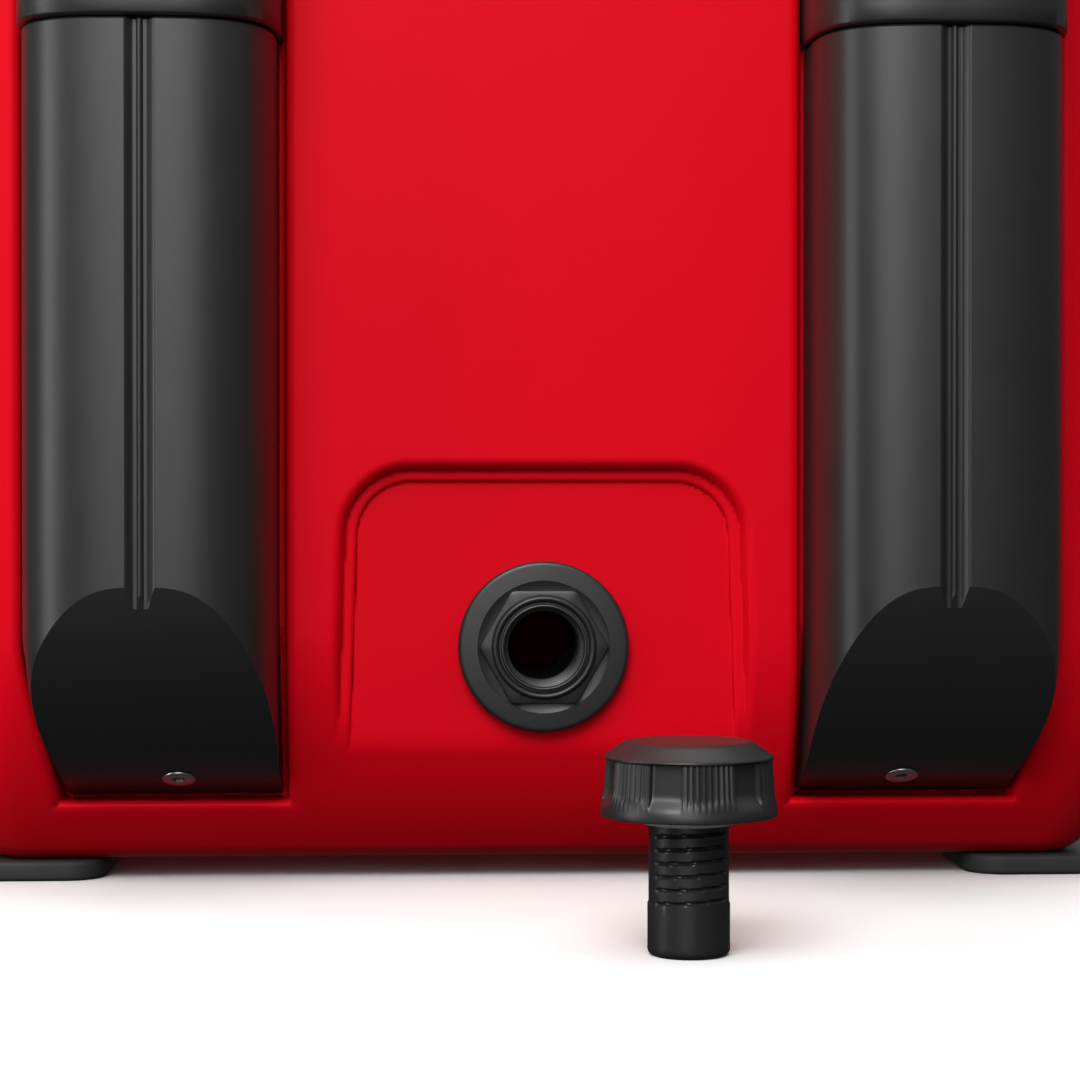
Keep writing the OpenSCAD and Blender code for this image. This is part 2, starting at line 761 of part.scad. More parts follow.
module grip_lower() place() color(black) translate([0, tube_y, 0]) difference() {
    translate([0, 0, grip_low]) linear_extrude(grip_mid - grip_low) grip_plan(0);
    translate([0, 0, grip_floor]) linear_extrude(grip_h) grip_plan(grip_in);
    for (s = [-1, 1]) translate([s * rail_x, 0, grip_low - 1])
        cylinder(r = tube_2_r + 0.02, h = grip_h);
    grip_screw_places() {
        translate([0, 0, -1]) cylinder(r = 1.8, h = 30);
        translate([0, 0, -1]) cylinder(r = 3.6, h = 4);
    }
}

module grip_upper() place() color(black) translate([0, tube_y, 0]) difference() {
    union() {
        difference() {
            translate([0, 0, grip_mid]) linear_extrude(grip_top - grip_mid) grip_plan(0);
            translate([0, 0, grip_low]) linear_extrude(grip_roof - grip_low) grip_plan(grip_in);
        }
        grip_screw_places() translate([0, 0, grip_mid - grip_low - 1])
            cylinder(r = 3.4, h = grip_roof - grip_mid + 1.5);
    }
    translate([0, 0, grip_roof - 1]) linear_extrude(20)
        rounded(button_l + 2 * move_gap, button_w + 2 * move_gap, button_w / 2 + move_gap - 0.2);
    grip_screw_places() translate([0, 0, 2]) cylinder(r = 1.55, h = grip_roof - grip_low - 4);
}

// Screws from below at four places along the grip, outside the beam's run
module grip_screw_places()
    for (s = [-1, 1], t = [-1, 1]) translate([s * (rail_x - 62), t * 6.2, grip_low]) children();

module grip_screws() place() color(steel) translate([0, tube_y, 0]) grip_screw_places() {
    cylinder(r = 3.2, h = 2.8);
    cylinder(r = 1.5, h = grip_mid - grip_low + 8);
}

module release_button() place() color(rubber) translate([0, tube_y, beam_low + beam_t])
    linear_extrude(grip_top + button_out - beam_low - beam_t)
        rounded(button_l, button_w, button_w / 2 - 0.2);

// The beam that carries the button's push to both tubes
module release_beam() place() color(black) translate([0, tube_y, beam_low])
    linear_extrude(beam_t) {
        square([2 * rail_x, 4], center = true);
        square([button_l - 6, 10], center = true);
        for (s = [-1, 1]) translate([s * rail_x, 0]) circle(6);
    }

module push_rods() place() color(steel) both_sides()
    translate([0, tube_y, stage_2_low + end_plug - 3 + button_travel + 1])
        cylinder(r = rod_r, h = beam_low - stage_2_low - end_plug + 2 - button_travel);

module button_spring() place() color(steel)
    translate([0, tube_y, grip_floor + 0.1])
        linear_extrude(beam_low - grip_floor - 0.2, twist = -360 * 3, slices = 60)
            translate([spring_r, 0]) circle(spring_wire, $fn = 10);

// The drain through the wall
module drain_fitting() place() color(black) translate([0, 0, drain_z]) difference() {
    union() {
        translate([0, drain_flange_y, 0]) rotate([90, 0, 0])
            cylinder(r = flange_d / 2, h = flange_t);
        translate([0, drain_flange_y - flange_t, 0]) rotate([90, 0, 0])
            cylinder(r = 23, h = hex_t, $fn = 6);
        translate([0, drain_flange_y - flange_t - hex_t, 0]) rotate([90, 0, 0])
            cylinder(r = 18, h = mouth_t);
        translate([0, drain_end_y, 0]) rotate([90, 0, 0])
            cylinder(r = drain_tube_r, h = drain_end_y - drain_flange_y);
    }
    translate([0, drain_mouth_y + bore_len, 0]) rotate([90, 0, 0])
        cylinder(r = drain_bore_r, h = bore_len + 1);
    translate([0, drain_end_y + 1, 0]) rotate([90, 0, 0])
        cylinder(r = drain_bore_r - 2.6, h = drain_end_y - drain_mouth_y);
}

module drain_gasket() place() color(rubber) translate([0, pocket_y - 0.05, drain_z])
    rotate([90, 0, 0]) difference() {
        cylinder(r = flange_d / 2 - 3, h = gasket_t - 0.1);
        translate([0, 0, -1]) cylinder(r = drain_tube_r + seat_fit, h = 4);
    }

module drain_nut() place() color(black) translate([0, -tub_hl + drain_nut_t + 0.1, drain_z])
    rotate([90, 30, 0]) difference() {
        cylinder(r = drain_tube_r + 7, h = drain_nut_t, $fn = 6);
        translate([0, 0, -1]) cylinder(r = drain_tube_r + run_fit, h = drain_nut_t + 2);
    }

// The drain plug, standing on its stem
module at_plug() place() translate([plug_x, plug_y, 0]) children();

module drain_plug() color(black) at_plug() rotate_extrude() polygon([
    [0, 0], [stem_r - 1.2, 0], [stem_r, 1.2], [stem_r, cap_low], [plug_cap_d / 2, cap_low],
    [plug_cap_d / 2, cap_low + 2], [plug_cap_d / 2 - 0.6, plug_h - 4.6],
    [plug_cap_d / 2 - 7.8, plug_h], [0, plug_h]]);

module plug_gasket() color(pale) at_plug() translate([0, 0, cap_low - plug_seal_t - 0.1])
    difference() {
        cylinder(r = stem_r + 2, h = plug_seal_t);
        translate([0, 0, -1]) cylinder(r = stem_r + 0.1, h = plug_seal_t + 2);
    }

// Feet under the drain end
foot_x = half_w - corner_r / 2 - foot_w / 2 + 9;
foot_mid_y = front_y + recess_at(ground_gap, 0) + foot_l / 2 - 4;

module foot() difference() {
    translate([0, foot_mid_y, 0]) linear_extrude(ground_gap - 0.1) rounded(foot_w, foot_l, 14);
    translate([0, foot_mid_y, -1]) cylinder(r = screw_r + seat_fit, h = ground_gap + 2);
    translate([0, foot_mid_y, -1]) cylinder(r = screw_head_r + 1, h = 4.5);
}

module foot_left() place() color(rubber) translate([-foot_x, 0, 0]) foot();
module foot_right() place() color(rubber) translate([foot_x, 0, 0]) foot();

module foot_screws() place() color(steel) for (s = [-1, 1])
    translate([s * foot_x, foot_mid_y, 0]) {
        translate([0, 0, 1.4]) cylinder(r = screw_head_r, h = 2);
        translate([0, 0, 1.4]) cylinder(r = screw_r - 0.1, h = 24);
    }

module foot_screw_holes() for (s = [-1, 1]) translate([s * foot_x, foot_mid_y, -1])
    cylinder(r = screw_r, h = 28);

// Wheels on one axle
module at_axle() place() translate([0, axle_y, axle_z]) rotate([0, 90, 0]) children();
module at_wheel(side) at_axle() mirror([0, 0, side < 0 ? 1 : 0]) children();
axle_end = hub_out + washer_t + nut_t + 1;

module axle() color(steel) at_axle() cylinder(r = axle_r, h = 2 * axle_end, center = true);

module axle_washers() color(steel) for (s = [-1, 1]) at_wheel(s)
    for (z = [hub_out + 0.3, hub_in - washer_t - 0.3]) translate([0, 0, z]) difference() {
        cylinder(r = 12, h = washer_t - 0.3);
        translate([0, 0, -1]) cylinder(r = axle_r + 0.1, h = 4);
    }

module axle_nuts() color(steel) for (s = [-1, 1]) at_wheel(s)
    translate([0, 0, hub_out + washer_t + 0.1]) difference() {
        cylinder(r = 11, h = nut_t);
        translate([0, 0, -1]) cylinder(r = axle_r + run_fit, h = nut_t + 2);
    }

module tyre() rotate_extrude()
    translate([rim_r, wheel_out - wheel_w]) polygon([
        [0, 3], [14, 0], [wheel_r - rim_r - 3, 6], [wheel_r - rim_r, 14],
        [wheel_r - rim_r, wheel_w - 14], [wheel_r - rim_r - 3, wheel_w - 6],
        [14, wheel_w], [0, wheel_w - 3]]);

module tyre_left() color(rubber) at_wheel(-1) tyre();
module tyre_right() color(rubber) at_wheel(1) tyre();

spoke_count = 6;
module rim() difference() {
    union() {
        translate([0, 0, hub_in]) cylinder(r = hub_r, h = hub_out - hub_in);
        difference() {
            translate([0, 0, wheel_out - wheel_w + 4]) cylinder(r = rim_r - 0.1, h = wheel_w - 8);
            translate([0, 0, 0]) cylinder(r = rim_r - 7, h = half_w * 2);
        }
        translate([0, 0, wheel_mid - 4]) cylinder(r = rim_r - 5, h = 8);
        for (i = [0:spoke_count - 1]) rotate([0, 0, i * 360 / spoke_count])
            translate([0, -7, wheel_out - wheel_w + 6]) cube([rim_r - 4, 14, wheel_w - 16]);
    }
    translate([0, 0, hub_in - 1])
        cylinder(r = axle_r + run_fit + bush_t + 0.01, h = hub_out - hub_in + 2);
    translate([0, 0, hub_out]) cylinder(r = hub_r + 6, h = 30);
}

module rim_left() color(black) at_wheel(-1) rim();
module rim_right() color(black) at_wheel(1) rim();

module wheel_bush() translate([0, 0, hub_in]) difference() {
    cylinder(r = axle_r + run_fit + bush_t, h = hub_out - hub_in);
    translate([0, 0, -1]) cylinder(r = axle_r + run_fit, h = hub_out - hub_in + 2);
}

module wheel_bush_left() color(pale) at_wheel(-1) wheel_bush();
module wheel_bush_right() color(pale) at_wheel(1) wheel_bush();

module hub_cap() translate([0, 0, hub_out + 0.1]) difference() {
    cylinder(r = hub_r - 1, h = half_w - hub_out - 0.1);
    translate([0, 0, -1]) cylinder(r = 16, h = half_w - hub_out - 2);
}

module hub_cap_left() color(black) at_wheel(-1) hub_cap();
module hub_cap_right() color(black) at_wheel(1) hub_cap();

body_shell();
body_insulation();
lid_shell();
lid_insulation();
lid_gasket();
hinge_rod();
latch_brackets();
latch_bracket_screws();
latch_pins();
latch_front();
latch_back();
latch_keepers();
keeper_screws();
rail_left();
rail_right();
collar_left();
collar_right();
rail_screws();
guide_tube_left();
guide_tube_right();
guide_bush_left();
guide_bush_right();
stage_1_tube_left();
stage_1_tube_right();
stage_1_bush_left();
stage_1_bush_right();
stage_1_end_plugs();
stage_2_tube_left();
stage_2_tube_right();
stage_2_end_plugs();
grip_lower();
grip_upper();
grip_screws();
release_button();
release_beam();
push_rods();
button_spring();
drain_fitting();
drain_gasket();
drain_nut();
drain_plug();
plug_gasket();
foot_left();
foot_right();
foot_screws();
axle();
axle_washers();
axle_nuts();
tyre_left();
tyre_right();
rim_left();
rim_right();
wheel_bush_left();
wheel_bush_right();
hub_cap_left();
hub_cap_right();
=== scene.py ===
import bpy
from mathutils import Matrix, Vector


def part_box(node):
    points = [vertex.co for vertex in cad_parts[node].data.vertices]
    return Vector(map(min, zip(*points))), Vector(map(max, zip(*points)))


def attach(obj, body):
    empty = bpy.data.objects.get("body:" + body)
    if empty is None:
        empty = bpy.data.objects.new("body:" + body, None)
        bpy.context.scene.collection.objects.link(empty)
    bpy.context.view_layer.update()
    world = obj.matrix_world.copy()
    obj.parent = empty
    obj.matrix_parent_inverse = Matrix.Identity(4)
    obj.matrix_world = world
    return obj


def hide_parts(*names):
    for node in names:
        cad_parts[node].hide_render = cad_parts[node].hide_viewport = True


bl_info = {
    "name": "Wheeled Cooler",
    "version": (1, 0, 0),
    "blender": (4, 5, 0),
    "location": "View3D > Sidebar > Cooler",
    "description": "Builds the looks of a rotomoulded cooler on wheels around its fixed frame",
    "category": "Object",
}

import math

import bmesh
import bpy
import numpy as np
import openvdb
from bpy.props import FloatProperty, FloatVectorProperty, IntProperty, PointerProperty
from mathutils import Vector

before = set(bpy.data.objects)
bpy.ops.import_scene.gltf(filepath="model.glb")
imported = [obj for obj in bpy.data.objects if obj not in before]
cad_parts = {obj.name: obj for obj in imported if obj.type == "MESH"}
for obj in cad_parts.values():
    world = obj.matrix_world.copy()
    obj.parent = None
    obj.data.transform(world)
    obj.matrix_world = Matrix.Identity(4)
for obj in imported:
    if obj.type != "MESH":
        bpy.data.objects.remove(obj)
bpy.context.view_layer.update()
MM = 0.001
LID_GAP = 2.0          # height of the gap between the body's rim and the lid
WHEEL_GAP = 8.0        # room between a tyre and its well
WELL_WALL = 18.0       # wall between the wells and the tub
LINER_INSET = 46.0     # how far the lid's inner panel lies inside its edge
CHANNEL_D = 10.0       # depth of the channels that seat the rails
RAIL_SEAT_FIT = 0.3    # gap between a rail and its channel's floor
RAIL_BEND_Z, RAIL_BEND_H = 95.0, 64.0   # top and height of the rail's leaning back
TONGUE_R, TONGUE_START = 115.0, math.radians(15.0)
SCREW_IN, SCREW_TILT = 8.0, math.radians(61.0)
PLUG_CAP_H = 23.0


def span(node):
    """Lowest and highest corner of a CAD node, in millimetres."""
    low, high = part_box(node)
    return np.array(low) / MM, np.array(high) / MM


# ---- Places, read from the frame, in millimetres ---------------------------------------------

BODY_LOW, BODY_HIGH = span("body_shell")
FOAM_LOW, FOAM_HIGH = span("body_insulation")
LID_FOAM_LOW, LID_FOAM_HIGH = span("lid_insulation")
HALF_W = BODY_HIGH[0]
SKIN = HALF_W - FOAM_HIGH[0]
FRONT_Y, BACK_Y = BODY_LOW[1], BODY_HIGH[1]
MID_Y, HALF_L = (FRONT_Y + BACK_Y) / 2, (BACK_Y - FRONT_Y) / 2
GROUND_GAP = BODY_LOW[2]
RIM_Z = FOAM_HIGH[2] + SKIN
LID_TOP = span("lid_shell")[1][2]
DIP_Z = span("lid_shell")[0][2]
SEAL_LOW, SEAL_HIGH = span("lid_gasket")
LID_Z = RIM_Z + LID_GAP
HINGE_LOW, HINGE_HIGH = span("hinge_rod")
HINGE_X, HINGE_Z = (HINGE_LOW[0] + HINGE_HIGH[0]) / 2, (HINGE_LOW[2] + HINGE_HIGH[2]) / 2
RAIL_LOW, RAIL_HIGH = span("rail_right")
RAIL_X, RAIL_HALF = (RAIL_LOW[0] + RAIL_HIGH[0]) / 2, (RAIL_HIGH[0] - RAIL_LOW[0]) / 2
RAIL_FRONT, RAIL_BACK = RAIL_LOW[1], RAIL_HIGH[1]
TONGUE_Z, SEAM_Z = RAIL_LOW[2], RAIL_HIGH[2]
COLLAR_LOW, COLLAR_HIGH = span("collar_right")
DRAIN_LOW, DRAIN_HIGH = span("drain_fitting")
DRAIN_Z = (DRAIN_LOW[2] + DRAIN_HIGH[2]) / 2
FLANGE_R = (DRAIN_HIGH[0] - DRAIN_LOW[0]) / 2
PLUG_LOW, PLUG_HIGH = span("drain_plug")
PLUG_MID = (PLUG_LOW + PLUG_HIGH) / 2
TYRE_LOW, TYRE_HIGH = span("tyre_right")
AXLE_Y, AXLE_Z = (TYRE_LOW[1] + TYRE_HIGH[1]) / 2, (TYRE_LOW[2] + TYRE_HIGH[2]) / 2
WHEEL_R, WHEEL_W = (TYRE_HIGH[2] - TYRE_LOW[2]) / 2, TYRE_HIGH[0] - TYRE_LOW[0]
GRIP_LOW, GRIP_HIGH = span("grip_lower")[0], span("grip_upper")[1]


# ---- Sizes and colours a user would change -----------------------------------------------------

def length(name, text, default):
    """A length property, its default in millimetres."""
    return FloatProperty(name=name, description=text, default=default * MM,
                         unit="LENGTH", subtype="DISTANCE", precision=4)


def colour(name, text, default):
    return FloatVectorProperty(name=name, description=text, default=default,
                               subtype="COLOR", size=3, min=0.0, max=1.0)


class CoolerShellSizes(bpy.types.PropertyGroup):
    """Sizes of the moulded body and lid."""
    corner_r: length("Corner radius", "Radius of the vertical corners", 50)
    under_r: length("Curve-under radius", "Radius with which the walls curve under", 125)
    under_z: length("Curve-under height", "Height at which the walls begin to curve under", 95)
    bottom_r: length("Bottom edge radius", "Softness of the bottom edge", 3)
    rim_r: length("Rim radius", "Softness of the rim's edges", 4)
    wall_t: length("Wall thickness", "Thickness of the insulated walls", 42)
    floor_t: length("Floor thickness", "Thickness of the insulated floor", 53)
    channel_d: length("Channel depth", "Depth of the channels that seat the rails", 10)
    channel_gap: length("Channel gap", "Gap between a collar and its channel", 1.0)
    pocket_top: length("Pocket top", "Height of the drain pocket's top", 146)
    pocket_hw: length("Pocket half width", "Half width of the drain pocket", 65)
    pocket_d: length("Pocket depth", "Depth of the drain pocket", 7.5)
    pocket_r: length("Pocket radius", "Radius of the pocket's upper corners", 17)
    lid_edge_r: length("Lid edge radius", "Radius of the lid's upper edges", 30)
    voxel: length("Shell resolution", "Edge of the cells that the shells are meshed with", 2.6)
    wall_voxel: length("Drain wall resolution", "Edge of the cells for the drain wall", 1.8)
    panel_voxel: length("Panel resolution", "Edge of the cells round the drain pocket", 1.15)


class CoolerRailSizes(bpy.types.PropertyGroup):
    """Sizes of the handle rails."""
    roundness: FloatProperty(name="Roundness", description="Power of the rail's rounded section",
                             default=3.2, min=2.0, max=6.0)
    groove_w: length("Groove half width", "Half width of the groove down the rail", 5.4)
    groove_d: length("Groove depth", "Depth of the groove down the rail", 2.3)
    bead_w: length("Bead half width", "Half width of the bead in the groove", 1.2)
    bead_h: length("Bead height", "Height of the bead in the groove", 1.5)
    tongue_top: length("Tongue top", "Height at which the rail's lower end begins", 111)
    taper: FloatProperty(name="Lower taper", description="How much the outer edge draws in",
                         default=0.25, min=0.0, max=0.4, subtype="FACTOR")


class CoolerPlugSizes(bpy.types.PropertyGroup):
    """Sizes of the drain plug and of the wheels' treads."""
    panels: IntProperty(name="Grip panels", description="Ribbed panels round the cap", default=6)
    ribs: IntProperty(name="Ribs", description="Ribs on each grip panel", default=9)
    thread_pitch: length("Thread pitch", "Rise of the thread in one turn", 4.1)
    tread_blocks: IntProperty(name="Tread blocks", description="Blocks round a tyre", default=40)


class CoolerColours(bpy.types.PropertyGroup):
    """Colours of the finishes."""
    shell: colour("Shell", "Moulded polyethylene", (0.62, 0.0015, 0.009))
    black: colour("Black plastic", "Satin moulded plastic", (0.0145, 0.0145, 0.0148))
    dull: colour("Dull black", "Matt faces of the black mouldings", (0.033, 0.033, 0.0335))
    foot: colour("Feet", "Dark rubber", (0.019, 0.019, 0.019))
    tyre: colour("Tyres", "Solid tyre rubber", (0.022, 0.022, 0.023))
    seal: colour("Plug seal", "Pale silicone rubber", (0.50, 0.50, 0.47))


# ---- Materials ---------------------------------------------------------------------------------

MATERIALS = {}


def finish_nodes(name, base, rough, rough_spread=0.06, tint=0.10, tint_scale=9.0, grain=0.0,
                 grain_scale=900.0, peel=0.0, peel_scale=160.0, metallic=0.0,
                 brushed=None, wear=0.0, specular=0.5, sheen_tint=(1.0, 1.0, 1.0)):
    """One procedural finish: drifting colour and roughness, fine grain, and worn edges."""
    material = bpy.data.materials.new(name)
    material.use_nodes = True
    tree = material.node_tree
    shader = tree.nodes["Principled BSDF"]
    shader.inputs["Metallic"].default_value = metallic
    shader.inputs["Specular IOR Level"].default_value = specular
    shader.inputs["Specular Tint"].default_value = (*sheen_tint, 1.0)
    place = tree.nodes.new("ShaderNodeTexCoord")
    link = tree.links.new

    def noise(scale, detail=3.0, stretch=None):
        node = tree.nodes.new("ShaderNodeTexNoise")
        node.inputs["Scale"].default_value = scale
        node.inputs["Detail"].default_value = detail
        source = place.outputs["Object"]
        if stretch:
            mapping = tree.nodes.new("ShaderNodeMapping")
            mapping.inputs["Scale"].default_value = stretch
            link(source, mapping.inputs["Vector"])
            source = mapping.outputs["Vector"]
        link(source, node.inputs["Vector"])
        return node.outputs["Fac"]

    ramp = tree.nodes.new("ShaderNodeValToRGB")
    for stop, position, share in zip(ramp.color_ramp.elements, (0.3, 0.7), (1 - tint, 1 + tint)):
        stop.position = position
        stop.color = (*[min(1, c * share) for c in base], 1)
    link(noise(tint_scale, 4.0), ramp.inputs["Fac"])
    surface_colour = ramp.outputs["Color"]
    if wear:
        edge = tree.nodes.new("ShaderNodeNewGeometry")
        lift = tree.nodes.new("ShaderNodeMapRange")
        lift.inputs["From Min"].default_value = 0.52
        lift.inputs["From Max"].default_value = 0.62
        lift.inputs["To Max"].default_value = wear
        link(edge.outputs["Pointiness"], lift.inputs["Value"])
        mix = tree.nodes.new("ShaderNodeMix")
        mix.data_type = "RGBA"
        mix.inputs["B"].default_value = (*[min(1, c * 1.8 + 0.01) for c in base], 1)
        link(lift.outputs["Result"], mix.inputs["Factor"])
        link(surface_colour, mix.inputs["A"])
        surface_colour = mix.outputs["Result"]
    link(surface_colour, shader.inputs["Base Color"])
    spread = tree.nodes.new("ShaderNodeMapRange")
    spread.inputs["To Min"].default_value = rough - rough_spread
    spread.inputs["To Max"].default_value = rough + rough_spread
    link(noise(60.0, 5.0, brushed), spread.inputs["Value"])
    link(spread.outputs["Result"], shader.inputs["Roughness"])
    normal = None
    for depth, scale, detail in ((peel, peel_scale, 1.5), (grain, grain_scale, 2.0)):
        if not depth:
            continue
        bump = tree.nodes.new("ShaderNodeBump")
        bump.inputs["Strength"].default_value = 1.0
        bump.inputs["Distance"].default_value = depth * MM
        link(noise(scale, detail, brushed), bump.inputs["Height"])
        if normal:
            link(normal, bump.inputs["Normal"])
        normal = bump.outputs["Normal"]
    if normal:
        link(normal, shader.inputs["Normal"])
    MATERIALS[name] = material


def make_materials(tones):
    """Every finish of the cooler."""
    finish_nodes("red_polyethylene", tones.shell, 0.42, 0.05, tint=0.03, tint_scale=5.0,
                 peel=0.05, grain=0.02, specular=0.3, sheen_tint=(1.0, 0.12, 0.16))
    finish_nodes("black_satin_plastic", tones.black, 0.38, 0.05, tint=0.08, grain=0.02,
                 grain_scale=1500.0, wear=0.10)
    finish_nodes("black_dull_plastic", tones.dull, 0.62, 0.05, tint=0.08, grain=0.03,
                 grain_scale=1100.0)
    finish_nodes("foot_rubber", tones.foot, 0.72, 0.08, tint=0.12, grain=0.04,
                 grain_scale=700.0, wear=0.2)
    finish_nodes("tyre_rubber", tones.tyre, 0.78, 0.08, tint=0.2, tint_scale=20.0, grain=0.06,
                 grain_scale=500.0, wear=0.35)
    finish_nodes("seal_rubber", (0.03, 0.03, 0.03), 0.6, 0.06, grain=0.02)
    finish_nodes("plug_seal_silicone", tones.seal, 0.5, 0.06, tint=0.05, grain=0.01)
    finish_nodes("soft_touch_rubber", (0.04, 0.041, 0.043), 0.68, 0.05, tint=0.1, grain=0.03,
                 grain_scale=800.0)
    finish_nodes("stainless_steel", (0.60, 0.60, 0.61), 0.30, 0.08, tint=0.05, metallic=1.0,
                 grain=0.006, grain_scale=300.0, brushed=(1.0, 1.0, 14.0))
    finish_nodes("anodised_aluminium", (0.42, 0.43, 0.45), 0.34, 0.07, tint=0.04, metallic=1.0,
                 grain=0.005, grain_scale=260.0, brushed=(14.0, 14.0, 1.0))
    finish_nodes("screw_zinc", (0.50, 0.50, 0.51), 0.36, 0.08, tint=0.06, metallic=1.0,
                 grain=0.01, grain_scale=600.0)
    finish_nodes("insulating_foam", (0.80, 0.72, 0.48), 0.85, 0.08, tint=0.12, tint_scale=40.0,
                 grain=0.25, grain_scale=260.0)
    finish_nodes("bearing_plastic", (0.60, 0.60, 0.57), 0.45, 0.06, tint=0.04, grain=0.01)
    # pale floor paint; the stage's floor material later adds a painted glow to it
    finish_nodes("floor_paint_with_painted_glow", (0.93, 0.93, 0.93), 0.6, 0.03, tint=0.004, tint_scale=1.0)


CAD_FINISHES = {
    "stainless_steel": ("hinge_rod", "latch_pins", "push_rods", "button_spring", "foot_screws",
                        "grip_screws", "axle", "axle_washers", "axle_nuts"),
    "anodised_aluminium": ("guide_tube_left", "guide_tube_right", "stage_1_tube_left",
                           "stage_1_tube_right", "stage_2_tube_left", "stage_2_tube_right"),
    "black_dull_plastic": ("release_beam", "drain_nut", "stage_1_end_plugs",
                           "stage_2_end_plugs"),
    "seal_rubber": ("lid_gasket", "drain_gasket"),
    "bearing_plastic": ("wheel_bush_left", "wheel_bush_right"),
}


# ---- Mesh helpers ------------------------------------------------------------------------------

def add_piece(name, mesh, finishes, body, stands_for=()):
    """Links a finished mesh, gives it its finishes, and rides it on its body."""
    mesh.name = name
    mesh.materials.clear()
    for finish in finishes:
        mesh.materials.append(MATERIALS[finish])
    piece = bpy.data.objects.new(name, mesh)
    bpy.context.scene.collection.objects.link(piece)
    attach(piece, body)
    if stands_for:
        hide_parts(*stands_for)
    return piece


def mesh_of(points, faces):
    """A mesh from points in millimetres."""
    mesh = bpy.data.meshes.new("piece")
    mesh.from_pydata((np.asarray(points, float) * MM).tolist(), [], faces)
    mesh.update()
    return mesh


def tidy(mesh, sharp=35.0, merge=1e-6, bevel=0.0, segments=2, recalculate=True):
    """Merges doubles, softens sharp edges with a bevel, turns faces outwards, smooths by angle."""
    shape = bmesh.new()
    shape.from_mesh(mesh)
    bmesh.ops.remove_doubles(shape, verts=shape.verts, dist=merge)
    bmesh.ops.dissolve_degenerate(shape, edges=shape.edges, dist=merge)
    if recalculate:
        bmesh.ops.recalc_face_normals(shape, faces=shape.faces)
    limit = math.radians(sharp)
    if bevel:
        hard = [e for e in shape.edges if len(e.link_faces) == 2 and e.calc_face_angle(0) > limit]
        bmesh.ops.bevel(shape, geom=hard, offset=bevel * MM, offset_type="OFFSET",
                        segments=segments, profile=0.5, affect="EDGES", clamp_overlap=True)
    for face in shape.faces:
        face.smooth = True
    for edge in shape.edges:
        edge.smooth = len(edge.link_faces) == 2 and edge.calc_face_angle(0) < limit
    shape.to_mesh(mesh)
    shape.free()
    return mesh


def softened(node, width, sharp=30.0, segments=2):
    """A copy of a CAD node's mesh with its flat faces joined and its edges rounded."""
    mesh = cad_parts[node].data.copy()
    shape = bmesh.new()
    shape.from_mesh(mesh)
    bmesh.ops.remove_doubles(shape, verts=shape.verts, dist=2e-6)
    bmesh.ops.dissolve_limit(shape, angle_limit=math.radians(0.5), verts=shape.verts,
                             edges=shape.edges, use_dissolve_boundaries=False)
    shape.to_mesh(mesh)
    shape.free()
    return tidy(mesh, sharp=sharp, bevel=width, segments=segments, recalculate=False)


def softened_piece(name, node, width, finish, body, slot, **shape):
    """A piece that stands for one CAD node with its edges rounded."""
    add_piece(name, softened(node, width, **shape), [finish], body, [node])


def joined(*meshes):
    """One mesh that holds the given meshes' faces."""
    shape = bmesh.new()
    for mesh in meshes:
        shape.from_mesh(mesh)
    out = bpy.data.meshes.new("joined")
    shape.to_mesh(out)
    shape.free()
    return out


def grid_faces(rows, columns, wrap_rows=False, wrap_columns=False):
    """Quads between the points of a grid, numbered row by row."""
    faces = []
    for r in range(rows if wrap_rows else rows - 1):
        for c in range(columns if wrap_columns else columns - 1):
            a, b = r * columns + c, r * columns + (c + 1) % columns
            up = ((r + 1) % rows) * columns
            faces.append((a, b, up + (c + 1) % columns, up + c))
    return faces


AXIS_ORDER = {"z": ([0, 1, 2], [1, 1, 1]), "-y": ([0, 2, 1], [1, -1, 1]),
              "x": ([2, 0, 1], [1, 1, 1]), "-x": ([2, 0, 1], [-1, 1, 1])}


def turned_to(points, axis):
    """Points made round Z, turned so that they lie round the named axis."""
    order, signs = AXIS_ORDER[axis]
    return points[:, order] * signs


def revolved(radius_at, heights, turns, axis, centre):
    """A closed form round an axis: radius_at(row, angle) with one ring per height."""
    angles = np.arange(turns) * (2 * math.pi / turns)
    points = []
    for row, height in enumerate(heights):
        r = np.broadcast_to(radius_at(row, angles), angles.shape)
        ring = np.stack([r * np.cos(angles), r * np.sin(angles), np.full(turns, height)], 1)
        points.append(ring)
    points = np.concatenate(points)
    faces = grid_faces(len(heights), turns, wrap_columns=True)
    for row, height in ((0, heights[0]), (len(heights) - 1, heights[-1])):
        hub = len(points)
        points = np.vstack([points, [[0, 0, height]]])
        for c in range(turns):
            faces.append((row * turns + c, row * turns + (c + 1) % turns, hub))
    return mesh_of(turned_to(points, axis) + centre, faces)


def lathe(profile, turns, axis, centre, closed=False):
    """A turned form from a profile of (radius, height); a closed profile makes a ring."""
    angles = np.arange(turns) * (2 * math.pi / turns)
    profile = np.asarray(profile, float)
    points = np.concatenate([np.stack([r * np.cos(angles), r * np.sin(angles),
                                       np.full(turns, h)], 1) for r, h in profile])
    faces = grid_faces(len(profile), turns, wrap_rows=closed, wrap_columns=True)
    return tidy(mesh_of(turned_to(points, axis) + centre, faces), sharp=40)


def arc(centre, radius, start, end, steps):
    """Points along an arc, angles in degrees."""
    turn = np.radians(np.linspace(start, end, steps + 1))
    return [(centre[0] + radius * math.cos(a), centre[1] + radius * math.sin(a)) for a in turn]


# ---- Solid forms as distance fields: negative inside, in millimetres ---------------------------

def soft_cut(base, tool, k):
    """base without tool, with the new edge rounded over about k."""
    tool = -tool
    h = np.maximum(k - np.abs(base - tool), 0) / k
    return np.maximum(base, tool) + h * h * k * 0.25


def soft_join(a, b, k):
    h = np.maximum(k - np.abs(a - b), 0) / k
    return np.minimum(a, b) - h * h * k * 0.25


